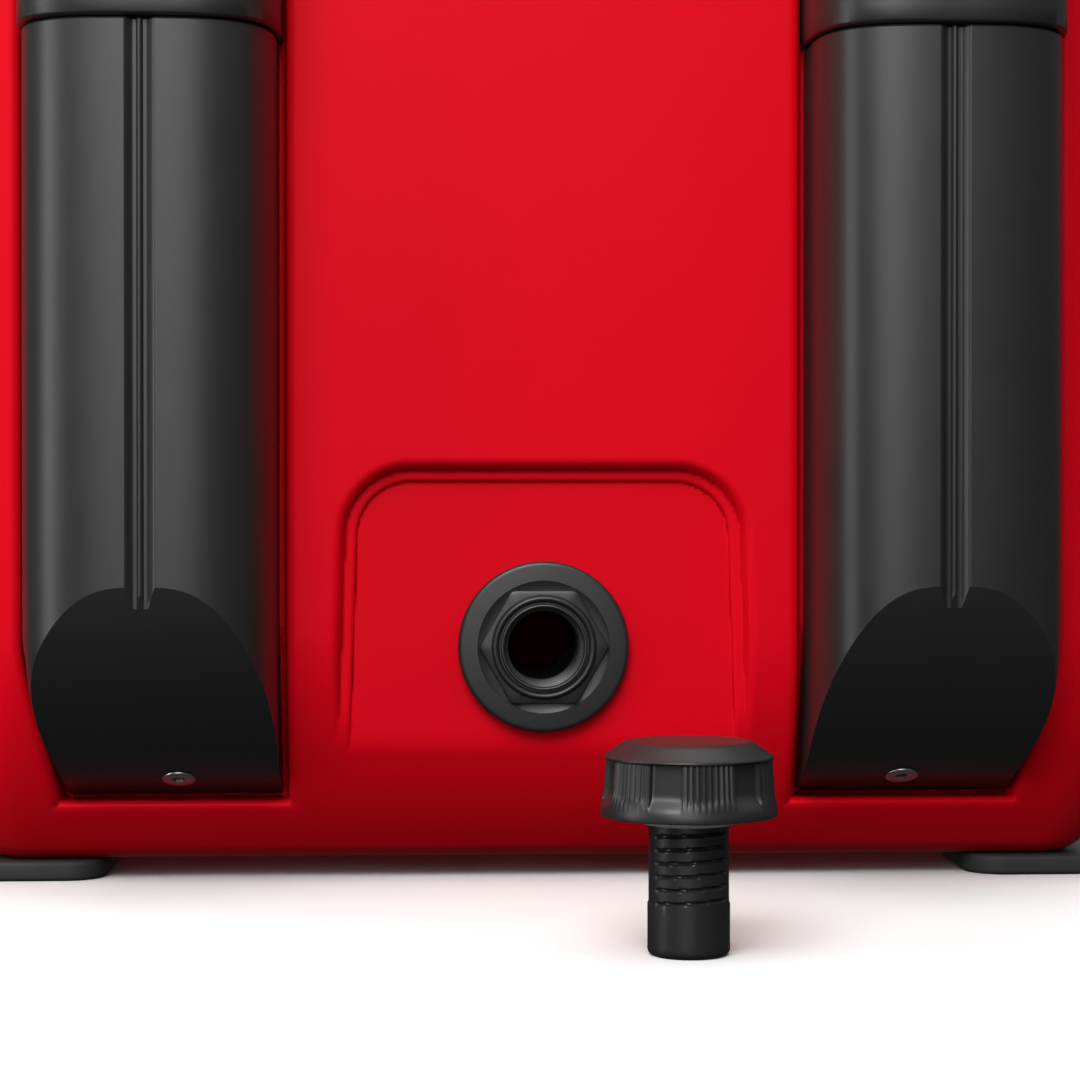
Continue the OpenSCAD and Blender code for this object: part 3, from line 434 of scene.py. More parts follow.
def box_field(x, y, half_x, half_y, r=0.0):
    qx, qy = np.abs(x) - half_x + r, np.abs(y) - half_y + r
    outside = np.hypot(np.maximum(qx, 0), np.maximum(qy, 0))
    return outside + np.minimum(np.maximum(qx, qy), 0) - r


def block_field(x, y, z, low, high, r=0.0):
    low, high = np.asarray(low, float), np.asarray(high, float)
    mid, half = (low + high) / 2, (high - low) / 2
    qx, qy, qz = (np.abs(v - m) - h + r for v, m, h in zip((x, y, z), mid, half))
    outside = np.sqrt(np.maximum(qx, 0) ** 2 + np.maximum(qy, 0) ** 2 + np.maximum(qz, 0) ** 2)
    return outside + np.minimum(np.maximum(np.maximum(qx, qy), qz), 0) - r


def drum_field(across, up, along, radius, low, high):
    return np.maximum(np.hypot(across, up) - radius, np.abs(along - (low + high) / 2) - (high - low) / 2)


def hinge_fields(x, y, z, lens, low_z, high_z):
    """Knuckles of the hinge and the gap they turn in: (knuckles, gap, bore)."""
    knuckle_r, gap_r, half_gap = 10.0, 11.0, 54.5
    along = np.full_like(x + y + z, 1e3)
    gap = along.copy()
    bore = np.hypot(x - HINGE_X, z - HINGE_Z) - 4.2
    round_part = np.hypot(x - HINGE_X, z - HINGE_Z) - knuckle_r
    root = np.maximum(np.maximum(HINGE_X - x, x + HALF_W - 2), np.maximum(low_z - z, z - high_z))
    form = soft_join(round_part, root, 4.0)
    pitch = (HINGE_HIGH[1] - HINGE_LOW[1] - 116.0) / 2
    for site in (-pitch, pitch):
        for offset, half in lens:
            slab = np.abs(y - MID_Y - site - offset) - half
            along = np.minimum(along, soft_cut(form, -slab, 1.5))
        slab = np.abs(y - MID_Y - site) - half_gap
        gap = np.minimum(gap, np.maximum(np.hypot(x - HINGE_X, z - HINGE_Z) - gap_r, slab))
    return along, gap, bore


def rail_taper(z, taper):
    """How far the outer edge of a rail draws in at a height, as a share of its half width."""
    t = np.clip((88.0 - z) / (88.0 - TONGUE_Z), 0, 1)
    return taper * t * t * (3 - 2 * t) * 0.6 + taper * 0.4 * t


def body_field(x, y, z):
    """The moulded body with its tub, channels, pocket, wheel wells, hand hold and knuckles."""
    p = bpy.context.scene.cooler_shell
    under_r, under_z = p.under_r / MM, p.under_z / MM
    plan = box_field(x, y - MID_Y, HALF_W, HALF_L, p.corner_r / MM)
    low = under_z - z
    curved = np.hypot(np.maximum(plan + under_r, 0), np.maximum(low, 0)) - under_r
    form = np.where(low > 0, curved, plan)
    form = soft_cut(form, z - GROUND_GAP, p.bottom_r / MM * 2)
    form = soft_cut(form, RIM_Z - z, p.rim_r / MM * 2)
    wall, tub_z = p.wall_t / MM, GROUND_GAP + p.floor_t / MM
    well_in = TYRE_LOW[0] - WHEEL_GAP
    well_r = WHEEL_R + WHEEL_GAP
    between = well_in - WELL_WALL
    step_y = AXLE_Y - well_r - WELL_WALL
    tub_front, tub_back = FRONT_Y + wall, BACK_Y - wall
    upper = np.maximum(box_field(x, y - MID_Y, HALF_W - wall, HALF_L - wall, 30.0),
                       AXLE_Z + well_r + WELL_WALL - z)
    lower = np.maximum(box_field(x, y - (tub_front + step_y) / 2, HALF_W - wall,
                                 (step_y - tub_front) / 2, 24.0), tub_z - z)
    rear = np.maximum(box_field(x, y - (tub_front + tub_back) / 2, between,
                                (tub_back - tub_front) / 2, 18.0), AXLE_Z + 27.0 - z)
    tub = soft_join(soft_join(upper, lower, 14.0), rear, 14.0)
    form = soft_cut(form, tub, 7.0)
    wells = np.maximum(np.hypot(y - AXLE_Y, z - AXLE_Z) - well_r, well_in - np.abs(x))
    form = soft_cut(form, wells, 6.0)
    u = np.abs(x) - RAIL_X
    half = COLLAR_HIGH[0] - RAIL_X + p.channel_gap / MM
    inner = half - np.where(u > 0, RAIL_HALF, 0) * rail_taper(z, bpy.context.scene.cooler_rails.taper)
    ledge_z = TONGUE_Z - 2.0
    floor_y = FRONT_Y + p.channel_d / MM
    floor_y = floor_y + np.clip((under_z - z) / (under_z - ledge_z), 0, 1.2) * (RAIL_BACK - floor_y)
    channel = np.maximum(np.maximum(np.abs(u) - inner, (y - floor_y) * 0.95),
                         np.maximum(ledge_z - z, z - COLLAR_HIGH[2] - 1.0))
    form = soft_cut(form, np.where(y < 0, channel, 1e3), 4.5)
    top, r = p.pocket_top / MM, p.pocket_r / MM
    half = p.pocket_hw / MM + (top - z) * 0.035
    qx, qz = np.abs(x) - half + r, z - top + r
    arch = np.hypot(np.maximum(qx, 0), np.maximum(qz, 0)) + np.minimum(np.maximum(qx, qz), 0) - r
    depth, lip, land, slope, step = p.pocket_d / MM, 8.0, 4.2, 0.35, 2.0
    outer = (arch - lip + (y - FRONT_Y) * slope) / math.hypot(1, slope)
    form = soft_cut(form, np.maximum(outer, y - FRONT_Y - depth + step), 2.4)
    inner = arch - lip + (depth - step) * slope + land
    form = soft_cut(form, np.maximum(inner, y - FRONT_Y - depth), 1.6)
    hold = block_field(x, y, z, (-66, BACK_Y - 26, RIM_Z - 70), (66, BACK_Y + 40, RIM_Z - 26), 10)
    form = soft_cut(form, hold, 7.0)
    form = soft_cut(form, np.maximum(np.hypot(x, z - DRAIN_Z) - FLANGE_R * 0.55,
                                     y - FRONT_Y - wall - 20.0), 1.0)
    form = soft_cut(form, np.maximum(np.hypot(y - AXLE_Y, z - AXLE_Z) - 7.4, -z), 0.5)
    knuckles, gap, bore = hinge_fields(x, y, z, ((-36, 18), (36, 18)), HINGE_Z - 34, HINGE_Z)
    form = soft_cut(form, gap, 1.0)
    form = soft_join(form, knuckles, 2.0)
    return soft_cut(form, bore, 0.8)


def lid_field(x, y, z):
    """The moulded lid with its panel, finger scoop, dipping inner panel and knuckles."""
    p = bpy.context.scene.cooler_shell
    edge = p.lid_edge_r / MM
    plan = box_field(x, y - MID_Y, HALF_W, HALF_L, p.corner_r / MM)
    top = z - LID_TOP + edge
    form = np.where(top > 0, np.hypot(np.maximum(plan + edge, 0), np.maximum(top, 0)) - edge, plan)
    form = soft_cut(form, z - LID_Z, 7.0)
    scoop_d = 32.0
    half_x, half_y = HALF_W - LINER_INSET, HALF_L - LINER_INSET
    panel = np.maximum(box_field(x, y - MID_Y - scoop_d / 2, half_x, half_y - scoop_d / 2, 30.0),
                       LID_TOP - 6.0 - z)
    form = soft_cut(form, panel, 5.0)
    scoop = np.maximum(box_field(x, y - FRONT_Y, 78.0, scoop_d, 22.0), LID_Z + 10 - z)
    form = soft_cut(form, scoop, 8.0)
    dip = np.maximum(box_field(x, y - MID_Y, half_x, half_y, 26.0),
                     np.maximum(DIP_Z - z, z - LID_Z - 20))
    form = soft_join(form, soft_cut(dip, z - DIP_Z, 8.0), 3.0)
    seal_mid = box_field(x, y - MID_Y, SEAL_HIGH[0] - 4, (SEAL_HIGH[1] - SEAL_LOW[1]) / 2 - 4, 38.0)
    groove = np.maximum(np.abs(seal_mid) - 4.2, z - SEAL_HIGH[2] - 0.2)
    form = soft_cut(form, groove, 1.0)
    knuckles, gap, bore = hinge_fields(x, y, z, ((0, 17.4),), HINGE_Z, HINGE_Z + 30)
    form = soft_cut(form, gap, 1.0)
    form = soft_join(form, knuckles, 2.0)
    return soft_cut(form, bore, 0.8)


def cut_across(mesh, axis, place, keep):
    """Cuts a mesh at a plane across an axis, keeps one side, and closes the cut."""
    shape = bmesh.new()
    shape.from_mesh(mesh)
    normal, point = Vector((0, 0, 0)), Vector((0, 0, 0))
    normal[axis], point[axis] = keep, place * MM
    cut = bmesh.ops.bisect_plane(shape, geom=shape.verts[:] + shape.edges[:] + shape.faces[:],
                                 plane_co=point, plane_no=normal, dist=1e-7,
                                 clear_inner=True)["geom_cut"]
    edges = [e for e in cut if isinstance(e, bmesh.types.BMEdge) and e.is_boundary]
    bmesh.ops.triangle_fill(shape, edges=edges, use_beauty=False, normal=-normal)
    shape.to_mesh(mesh)
    shape.free()


def field_mesh(field, low, high, cell, adaptivity=0.02, cuts=()):
    """Meshes a distance field and pulls every point and normal onto the true surface."""
    low, high = np.asarray(low, float) - 3 * cell, np.asarray(high, float) + 3 * cell
    counts = np.ceil((high - low) / cell).astype(int)
    xs, ys = (low[i] + cell * np.arange(counts[i]) for i in (0, 1))
    grid = openvdb.FloatGrid(background=3 * cell)
    values = np.empty(counts, np.float32)
    for k in range(counts[2]):
        z = np.full((1, 1), low[2] + cell * k)
        values[:, :, k] = field(xs[:, None], ys[None, :], z)
    grid.copyFromArray(np.clip(values, -3 * cell, 3 * cell))
    points, triangles, quads = grid.convertToPolygons(isovalue=0.0, adaptivity=adaptivity)
    points = np.asarray(points, float) * cell + low

    def at(p):
        return field(p[:, 0], p[:, 1], p[:, 2])

    def gradient(p, e=0.25):
        return np.stack([at(p + d) - at(p - d) for d in np.eye(3) * e], 1) / (2 * e)

    for _ in range(3):
        g = gradient(points)
        size = np.maximum((g * g).sum(1), 0.25)
        step = np.clip(at(points) / size, -cell * 0.6, cell * 0.6)
        points = points - g * step[:, None]
    faces = [tuple(f) for f in quads[:, ::-1].tolist()]
    faces += [tuple(f) for f in triangles[:, ::-1].tolist()]
    mesh = mesh_of(points, faces)
    flat = np.zeros(len(mesh.polygons) * 3)
    mesh.polygons.foreach_get("normal", flat)
    first = points[[f[0] for f in faces]]
    if (flat.reshape(-1, 3) * gradient(first)).sum() < 0:
        mesh.flip_normals()
    for cut in cuts:
        cut_across(mesh, *cut)
    points = np.zeros(len(mesh.vertices) * 3)
    mesh.vertices.foreach_get("co", points)
    normals = gradient(points.reshape(-1, 3) / MM)
    normals /= np.maximum(np.linalg.norm(normals, axis=1), 1e-9)[:, None]
    mesh.polygons.foreach_set("use_smooth", [True] * len(mesh.polygons))
    mesh.normals_split_custom_set_from_vertices(normals.tolist())
    return mesh


# ---- The rails ---------------------------------------------------------------------------------

def rail_recess(u):
    """How far the rail's face lies behind its front plane, across the rail, without its groove."""
    p = bpy.context.scene.cooler_rails
    share = np.clip(np.abs(u) / RAIL_HALF, 0, 1)
    return (FRONT_Y - RAIL_FRONT) * (1 - (1 - share ** p.roundness) ** (1 / p.roundness))


def groove_at(u):
    """Depth of the groove with its bead, across the rail."""
    p = bpy.context.scene.cooler_rails
    side, floor_w = np.abs(u), 2.2
    fall = np.clip((p.groove_w / MM - side) / (p.groove_w / MM - floor_w), 0, 1)
    valley = p.groove_d / MM * fall * fall * (3 - 2 * fall)
    bead = np.clip(1 - (side / (p.bead_w / MM)) ** 2, 0, 1) ** 0.8 * p.bead_h / MM
    return valley - bead


def tongue_depth(z, top):
    """Depth of the tongue's face behind the rail's front plane at a height: an arc curving under."""
    mid_y = TONGUE_R * math.cos(TONGUE_START)
    mid_z = top + TONGUE_R * math.sin(TONGUE_START)
    drop = np.clip((mid_z - z) / TONGUE_R, 0, 1)
    return mid_y - TONGUE_R * np.sqrt(1 - drop * drop)


def section_stops(with_groove):
    """Places across a rail, closer together where it turns and in its groove."""
    turn = np.linspace(0, math.pi / 2, 30)
    outer = RAIL_HALF * np.sin(turn) ** (2 / 3.0)
    outer = np.unique(np.round(np.concatenate([np.linspace(7.5, 30, 8), outer[outer > 30.5],
                                               RAIL_HALF - np.array([0.02, 0.08, 0.2, 0.45, 0.8])]), 4))
    inner = np.linspace(0, 7.2, 37 if with_groove else 4)
    half = np.concatenate([inner, outer, [RAIL_HALF]])
    half = np.unique(half)
    return np.concatenate([-half[:0:-1], half])


def closed_faces(rows, columns):
    """Faces of a closed form whose points are a front grid followed by a back grid."""
    front, shift = grid_faces(rows, columns), rows * columns
    faces = front + [tuple(i + shift for i in f[::-1]) for f in front]
    for r in (0, rows - 1):
        for c in range(columns - 1):
            a = r * columns + c
            faces.append((a, a + 1, a + 1 + shift, a + shift))
    return faces


def rail_back_at(z):
    """Place of a rail's back at a height: upright in its channel, then leaning outwards."""
    channel_y = FRONT_Y + CHANNEL_D - RAIL_SEAT_FIT
    low = np.clip((RAIL_BEND_Z - z) / RAIL_BEND_H, 0, 1)
    return channel_y + low * (RAIL_BACK - channel_y)


def rail_mesh(side):
    """A rail: a rounded, grooved front above a face that curves under, and a plain back."""
    p = bpy.context.scene.cooler_rails
    top = p.tongue_top / MM
    u = section_stops(True)
    recess = np.maximum(rail_recess(u) + groove_at(u), 0)
    probe = np.linspace(TONGUE_Z, top, 400)
    depth = tongue_depth(probe, top)
    meet = np.interp(-recess, -depth, probe)
    rows, tongue_rows, soft = [], 26, 0.9
    for v in np.linspace(0, 1, tongue_rows):
        z = TONGUE_Z + (meet - TONGUE_Z) * v
        rows.append((u, RAIL_FRONT + np.maximum(tongue_depth(z, top), recess), z))
    lift = np.array([soft * 0.5, soft, 3.0, 8.0])
    for step in lift:
        rows.append((u, RAIL_FRONT + recess, np.minimum(meet + step, SEAM_Z - 2)))
    for v in np.linspace(0.1, 1, 14):
        start = np.minimum(meet + lift[-1], SEAM_Z - 2)
        rows.append((u, RAIL_FRONT + recess, start + (SEAM_Z - 0.8 - start) * v))
    rows.append((u * 0.992, RAIL_FRONT + recess + 0.8, np.full_like(u, SEAM_Z)))
    front = [np.stack(r, 1) for r in rows]
    for row in front:
        row_back = rail_back_at(row[:, 2])
        row[:, 1] = np.minimum(row[:, 1], row_back)
        flank = np.abs(row[:, 0]) > RAIL_HALF - 1e-3
        row[flank, 1] = row_back[flank]
    backs = []
    for row in front:
        other = row.copy()
        other[:, 1] = rail_back_at(row[:, 2])
        backs.append(other)
    points = np.concatenate(front + backs)
    outer = points[:, 0] > 0
    points[outer, 0] *= 1 - rail_taper(points[outer, 2], p.taper)
    dull = (tongue_rows - 1) * (len(u) - 1)
    points[:, 0] = side * (points[:, 0] + RAIL_X)
    mesh = mesh_of(points, closed_faces(len(front), len(u)))
    mesh.materials.append(None)
    mesh.materials.append(None)
    for polygon in mesh.polygons[:dull]:
        polygon.material_index = 1
    return tidy(mesh, sharp=12.0, merge=2e-5)


def collar_mesh(side):
    """A collar: the rail's section a little larger, with rounded edges and a capped top."""
    wider = COLLAR_HIGH[0] - RAIL_X
    u = section_stops(False)
    scale = wider / RAIL_HALF
    recess = rail_recess(u)
    back = COLLAR_HIGH[1]
    low, high = COLLAR_LOW[2], COLLAR_HIGH[2]
    steps = [(low, 1.0), (low + 0.4, 0.4), (low + 1.0, 0.0)]
    steps += [(z, 0.0) for z in np.linspace(low + 6, high - 6, 8)]
    steps += [(high - 5 * (1 - math.sin(a)), 5 * (1 - math.cos(a)))
              for a in np.radians(np.linspace(0, 90, 8))]
    front, backs = [], []
    for z, inset in steps:
        y = COLLAR_LOW[1] + recess + inset
        y[np.abs(u) > RAIL_HALF - 1e-3] = back
        x = u * scale * (1 - inset / wider)
        front.append(np.stack([x, np.minimum(y, back), np.full_like(u, z)], 1))
        backs.append(np.stack([x, np.full_like(u, back), np.full_like(u, z)], 1))
    points = np.concatenate(front + backs)
    points[:, 0] = side * (points[:, 0] + RAIL_X)
    return tidy(mesh_of(points, closed_faces(len(front), len(u))), sharp=40.0, merge=2e-5)


def screw_mesh(side):
    """A countersunk screw in a rail's lower end: a flat head with a six-sided socket."""
    p = bpy.context.scene.cooler_rails
    across, tilt = side * (RAIL_X - SCREW_IN), SCREW_TILT
    mid_z = p.tongue_top / MM + TONGUE_R * math.sin(TONGUE_START)
    place_y = RAIL_FRONT + TONGUE_R * (math.cos(TONGUE_START) - math.cos(tilt))
    place_z = mid_z - TONGUE_R * math.sin(tilt)
    socket, turns = 2.3, 72
    profile = [(2.9, -12.0), (2.9, -2.6), (5.7, -0.2), (6.0, 0.15), (5.9, 0.42), (5.6, 0.55)]
    profile += [(3.6, 0.62), (2.75, 0.60), (2.4, 0.35), (2.4, -1.9)]

    def radius_at(row, angle):
        r = profile[row][0]
        if row < len(profile) - 3:
            return r
        flat = (angle % (math.pi / 3)) - math.pi / 6
        return r / 2.4 * socket * math.cos(math.pi / 6) / np.cos(flat) * 1.06

    mesh = revolved(radius_at, [z for _, z in profile], turns, "z", np.zeros(3))
    turn = np.array([[1, 0, 0], [0, math.sin(tilt), -math.cos(tilt)],
                     [0, -math.cos(tilt), -math.sin(tilt)]])
    for vert in mesh.vertices:
        x, y, z = np.array(vert.co) / MM
        local = turn @ np.array([x, y, z])
        vert.co = Vector((across + local[0], place_y + local[1], place_z + local[2])) * MM
    return tidy(mesh, sharp=30)


# ---- Drain -------------------------------------------------------------------------------------

def hexagon_mesh(radius, low, high, centre, edge):
    """A hexagonal boss facing -Y with rounded edges, its points to the sides."""
    heights = [low, high - edge, high - edge * 0.3, high]
    insets = [0, 0, edge * 0.3, edge]
    turns = 96

    def radius_at(row, angle):
        flat = (angle % (math.pi / 3)) - math.pi / 6
        r = radius * math.cos(math.pi / 6) / np.cos(flat)
        return np.minimum(r, radius * 0.985) - insets[row]

    return tidy(revolved(radius_at, heights, turns, "-y", centre), sharp=25)


def fitting_mesh():
    """The drain fitting: flange, raised hexagon, mouth rings and a threaded bore."""
    back = DRAIN_HIGH[1]
    face = -DRAIN_LOW[1]
    base = face - 8.5
    tube_r, bore_r = 16.3, 13.1
    outer = [(tube_r, -back), (tube_r, base), (FLANGE_R - 0.8, base)]
    outer += arc((FLANGE_R - 1.6, base + 2.4), 1.6, 0, 90, 6)
    outer += [(24.0, base + 4.3), (23.6, base + 4.0), (19.4, base + 4.0), (19.0, base + 6.6)]
    outer += arc((17.6, base + 7.3), 0.9, 20, 110, 4)
    outer += [(16.4, base + 7.2), (16.2, base + 6.2), (15.7, base + 6.2), (15.6, base + 7.9)]
    outer += arc((15.0, base + 7.9), 0.6, 0, 150, 5)
    pitch = 3.2
    thread = []
    for i in range(9):
        z = base + 6.4 - i * pitch
        thread += [(bore_r + 1.2, z), (bore_r, z - 0.7), (bore_r, z - 1.5), (bore_r + 1.2, z - 2.2)]
    inner = thread + [(bore_r, base - 33.0), (bore_r - 2.6, base - 37.0), (bore_r - 2.6, -back)]
    centre = np.array([0, 0, DRAIN_Z])
    ring = lathe(outer + inner, 128, "-y", centre, closed=True)
    collar = hexagon_mesh(23.6, base + 3.0, base + 6.4, centre, 0.9)
    bore = bmesh.new()
    bore.from_mesh(collar)
    caps = [f for f in bore.faces if len(f.verts) == 3]
    bmesh.ops.delete(bore, geom=caps, context="FACES")
    hubs = [v for v in bore.verts if not v.link_faces]
    bmesh.ops.delete(bore, geom=hubs, context="VERTS")
    rim = [e for e in bore.edges if e.is_boundary]
    made = bmesh.ops.extrude_edge_only(bore, edges=rim)["geom"]
    for vert in [g for g in made if isinstance(g, bmesh.types.BMVert)]:
        across = Vector((vert.co.x, 0, vert.co.z - DRAIN_Z * MM))
        across = across.normalized() * 17.2 * MM
        vert.co = Vector((across.x, vert.co.y, DRAIN_Z * MM + across.z))
    inner_rim = [e for e in bore.edges if e.is_boundary]
    bmesh.ops.bridge_loops(bore, edges=inner_rim)
    bore.to_mesh(collar)
    bore.free()
    return joined(ring, tidy(collar, sharp=30))


# ---- Drain plug --------------------------------------------------------------------------------

def plug_mesh():
    """The drain plug: a grooved stem under a cap with ribbed grip panels between flats."""
    p = bpy.context.scene.cooler_plug
    top, cap_low, rim_r = PLUG_HIGH[2], PLUG_HIGH[2] - PLUG_CAP_H, (PLUG_HIGH[0] - PLUG_LOW[0]) / 2
    stem_r, turns = 12.75, 432
    heights, base, kind = [], [], []

    def add(z, r, what=0.0):
        heights.append(z)
        base.append(r)
        kind.append(what)

    add(0.0, stem_r - 2.2)
    for a in np.radians(np.linspace(-75, 0, 5)):
        add(2.0 + 2.0 * math.sin(a), stem_r - 2.0 + 2.0 * math.cos(a))
    for z in np.linspace(3.5, 16.0, 6):
        add(z, stem_r)
    for z in np.linspace(16.4, cap_low - 3.6, 64):
        add(z, stem_r, 2.0)
    add(cap_low - 3.4, stem_r)
    add(cap_low, stem_r)
    add(cap_low, rim_r - 0.6)
    add(cap_low + 0.25, rim_r - 0.12)
    add(cap_low + 0.9, rim_r)
    add(cap_low + 2.2, rim_r - 0.12)
    shoulder = top - 4.8
    for v in np.linspace(0, 1, 18):
        z = cap_low + 3.0 + (shoulder - 0.9 - cap_low - 3.0) * v
        add(z, rim_r - 0.3 - 1.0 * v, 1.0)
    for v in (0.0, 0.4, 1.0):
        add(shoulder - 0.7 + 0.5 * v, rim_r - 1.25, 0.35 * (1 - v))
    add(shoulder + 0.2, rim_r - 1.35)
    for v in np.linspace(0.08, 1, 5):
        add(shoulder + 0.2 + 4.2 * v, rim_r - 1.45 - 6.0 * v)
    add(top - 0.12, rim_r - 8.2)
    add(top, rim_r - 9.4)
    add(top, rim_r * 0.5)
    step = 2 * math.pi / p.panels
    flat_half = math.radians(11.5)
    offset = math.radians(-90 + 8.4 - 30.0)

    def radius_at(row, angle):
        r, what, z = base[row], kind[row], heights[row]
        if what == 2.0:
            front = np.abs((angle - math.radians(-90) + math.pi / 2) % math.pi - math.pi / 2)
            face = np.clip((math.radians(60) - front) / math.radians(8), 0, 1)
            turn = (z - angle * p.thread_pitch / MM / (2 * math.pi)) / (p.thread_pitch / MM) % 1.0
            cut = np.clip(1 - np.abs(turn - 0.5) / 0.14, 0, 1)
            flat = np.clip((front - math.radians(62)) / math.radians(5), 0, 1)
            return r - 1.15 * face * cut ** 0.6 - 0.35 * flat
        if what == 0.0:
            return r
        side = (angle - offset + step / 2) % step - step / 2
        grow = np.clip((z - cap_low - 3.0) / 5.0, 0, 1)
        grow = grow * grow * (3 - 2 * grow) * min(what, 1.0)
        into = np.abs(side)
        on_flat = np.clip((flat_half - into) / math.radians(1.2), 0, 1)
        flat_r = (r - 2.3) * math.cos(flat_half) / np.cos(np.minimum(into, flat_half))
        width = step / 2 - flat_half
        along = np.clip((into - flat_half) / width, 0, 1)
        bulge = r - 0.9 + 0.8 * np.sin(along * math.pi / 2)
        wave = 0.5 + 0.5 * np.cos((into - step / 2) * p.ribs * math.pi / width)
        edge = np.clip((into - flat_half - math.radians(1.5)) / math.radians(1.5), 0, 1)
        bulge = bulge - 0.55 * (1 - wave) * edge
        shaped = np.where(on_flat > 0, flat_r * on_flat + (1 - on_flat) * (bulge - 1.2), bulge)
        return r * (1 - grow) + shaped * grow

    mesh = revolved(radius_at, heights, turns, "z", np.array([PLUG_MID[0], PLUG_MID[1], 0]))
    return tidy(mesh, sharp=32)


# ---- Geometry node trees: what repeats ---------------------------------------------------------

def new_tree(name, inputs):
    """A geometry node tree with a geometry output and named inputs."""
    tree = bpy.data.node_groups.new(name, "GeometryNodeTree")
    tree.interface.new_socket("Geometry", in_out="OUTPUT", socket_type="NodeSocketGeometry")
    for label, kind in inputs:
        tree.interface.new_socket(label, in_out="INPUT", socket_type=kind)
    return tree, tree.nodes.new("NodeGroupInput"), tree.nodes.new("NodeGroupOutput")


def fed(tree, kind, **sources):
    """A new node, each named input linked from the socket given for it."""
    node = tree.nodes.new(kind)
    for label, source in sources.items():
        tree.links.new(source, node.inputs[label.replace("_", " ")])
    return node


def realized(tree, instances, given, out):
    """Ends a tree: real geometry with its finish set, to the output."""
    real = fed(tree, "GeometryNodeRealizeInstances", Geometry=instances)
    paint = fed(tree, "GeometryNodeSetMaterial", Geometry=real.outputs["Geometry"],
                Material=given["Finish"])
    tree.links.new(paint.outputs["Geometry"], out.inputs["Geometry"])
    return tree


def run_tree(tree, values):
    """Evaluates a tree with its inputs set by identifier, and returns the result as a mesh."""
    holder = bpy.data.objects.new("tree_holder", bpy.data.meshes.new("tree_holder"))
    bpy.context.scene.collection.objects.link(holder)
    modifier = holder.modifiers.new("tree", "NODES")
    modifier.node_group = tree
    for item in tree.interface.items_tree:
        if item.in_out == "INPUT" and item.name in values:
            modifier[item.identifier] = values[item.name]
    depsgraph = bpy.context.evaluated_depsgraph_get()
    result = bpy.data.meshes.new_from_object(holder.evaluated_get(depsgraph))
    holder.modifiers.clear()
    bpy.data.objects.remove(holder)
    return result


def block_ring_tree():
    """Rounded blocks set round the X axis in rows, as on a tyre's tread."""
    tree, given, out = new_tree("TreadBlocks", (
        ("Count", "NodeSocketInt"), ("Radius", "NodeSocketFloat"), ("Size", "NodeSocketVector"),
        ("Shift", "NodeSocketVector"), ("Turn", "NodeSocketVector"), ("Slant", "NodeSocketVector"),
        ("Finish", "NodeSocketMaterial")))
    given = given.outputs
    circle = fed(tree, "GeometryNodeMeshCircle", Vertices=given["Count"], Radius=given["Radius"])
    cube = fed(tree, "GeometryNodeMeshCube", Size=given["Size"])
    tilt = fed(tree, "GeometryNodeTransform", Geometry=cube.outputs["Mesh"],
               Rotation=given["Slant"])
    place = tree.nodes.new("GeometryNodeInputPosition")
    align = fed(tree, "FunctionNodeAlignRotationToVector", Vector=place.outputs["Position"])
    align.axis = "X"
    align.pivot_axis = "Z"
    scatter = fed(tree, "GeometryNodeInstanceOnPoints", Points=circle.outputs["Mesh"],
                  Instance=tilt.outputs["Geometry"], Rotation=align.outputs["Rotation"])
    spin = fed(tree, "GeometryNodeTransform", Geometry=scatter.outputs["Instances"],
               Rotation=given["Turn"])
    move = fed(tree, "GeometryNodeTransform", Geometry=spin.outputs["Geometry"],
               Translation=given["Shift"])
    return realized(tree, move.outputs["Geometry"], given, out)


def rib_row_tree():
    """Round-ended ribs in a straight row."""
    tree, given, out = new_tree("RibRow", (
        ("Count", "NodeSocketInt"), ("Start", "NodeSocketVector"), ("Step", "NodeSocketVector"),
        ("Rib Radius", "NodeSocketFloat"), ("Rib Length", "NodeSocketFloat"),
        ("Turn", "NodeSocketVector"), ("Flatten", "NodeSocketVector"),
        ("Finish", "NodeSocketMaterial")))
    given = given.outputs
    line = fed(tree, "GeometryNodeMeshLine", Count=given["Count"],
               Start_Location=given["Start"], Offset=given["Step"])
    rib = fed(tree, "GeometryNodeMeshCylinder", Radius=given["Rib Radius"],
              Depth=given["Rib Length"])
    rib.inputs["Vertices"].default_value = 12
    tilt = fed(tree, "GeometryNodeTransform", Geometry=rib.outputs["Mesh"],
               Rotation=given["Turn"])
    squash = fed(tree, "GeometryNodeTransform", Geometry=tilt.outputs["Geometry"],
                 Scale=given["Flatten"])
    scatter = fed(tree, "GeometryNodeInstanceOnPoints", Points=line.outputs["Mesh"],
                  Instance=squash.outputs["Geometry"])
    return realized(tree, scatter.outputs["Instances"], given, out)


# ---- Building each group of pieces -------------------------------------------------------------

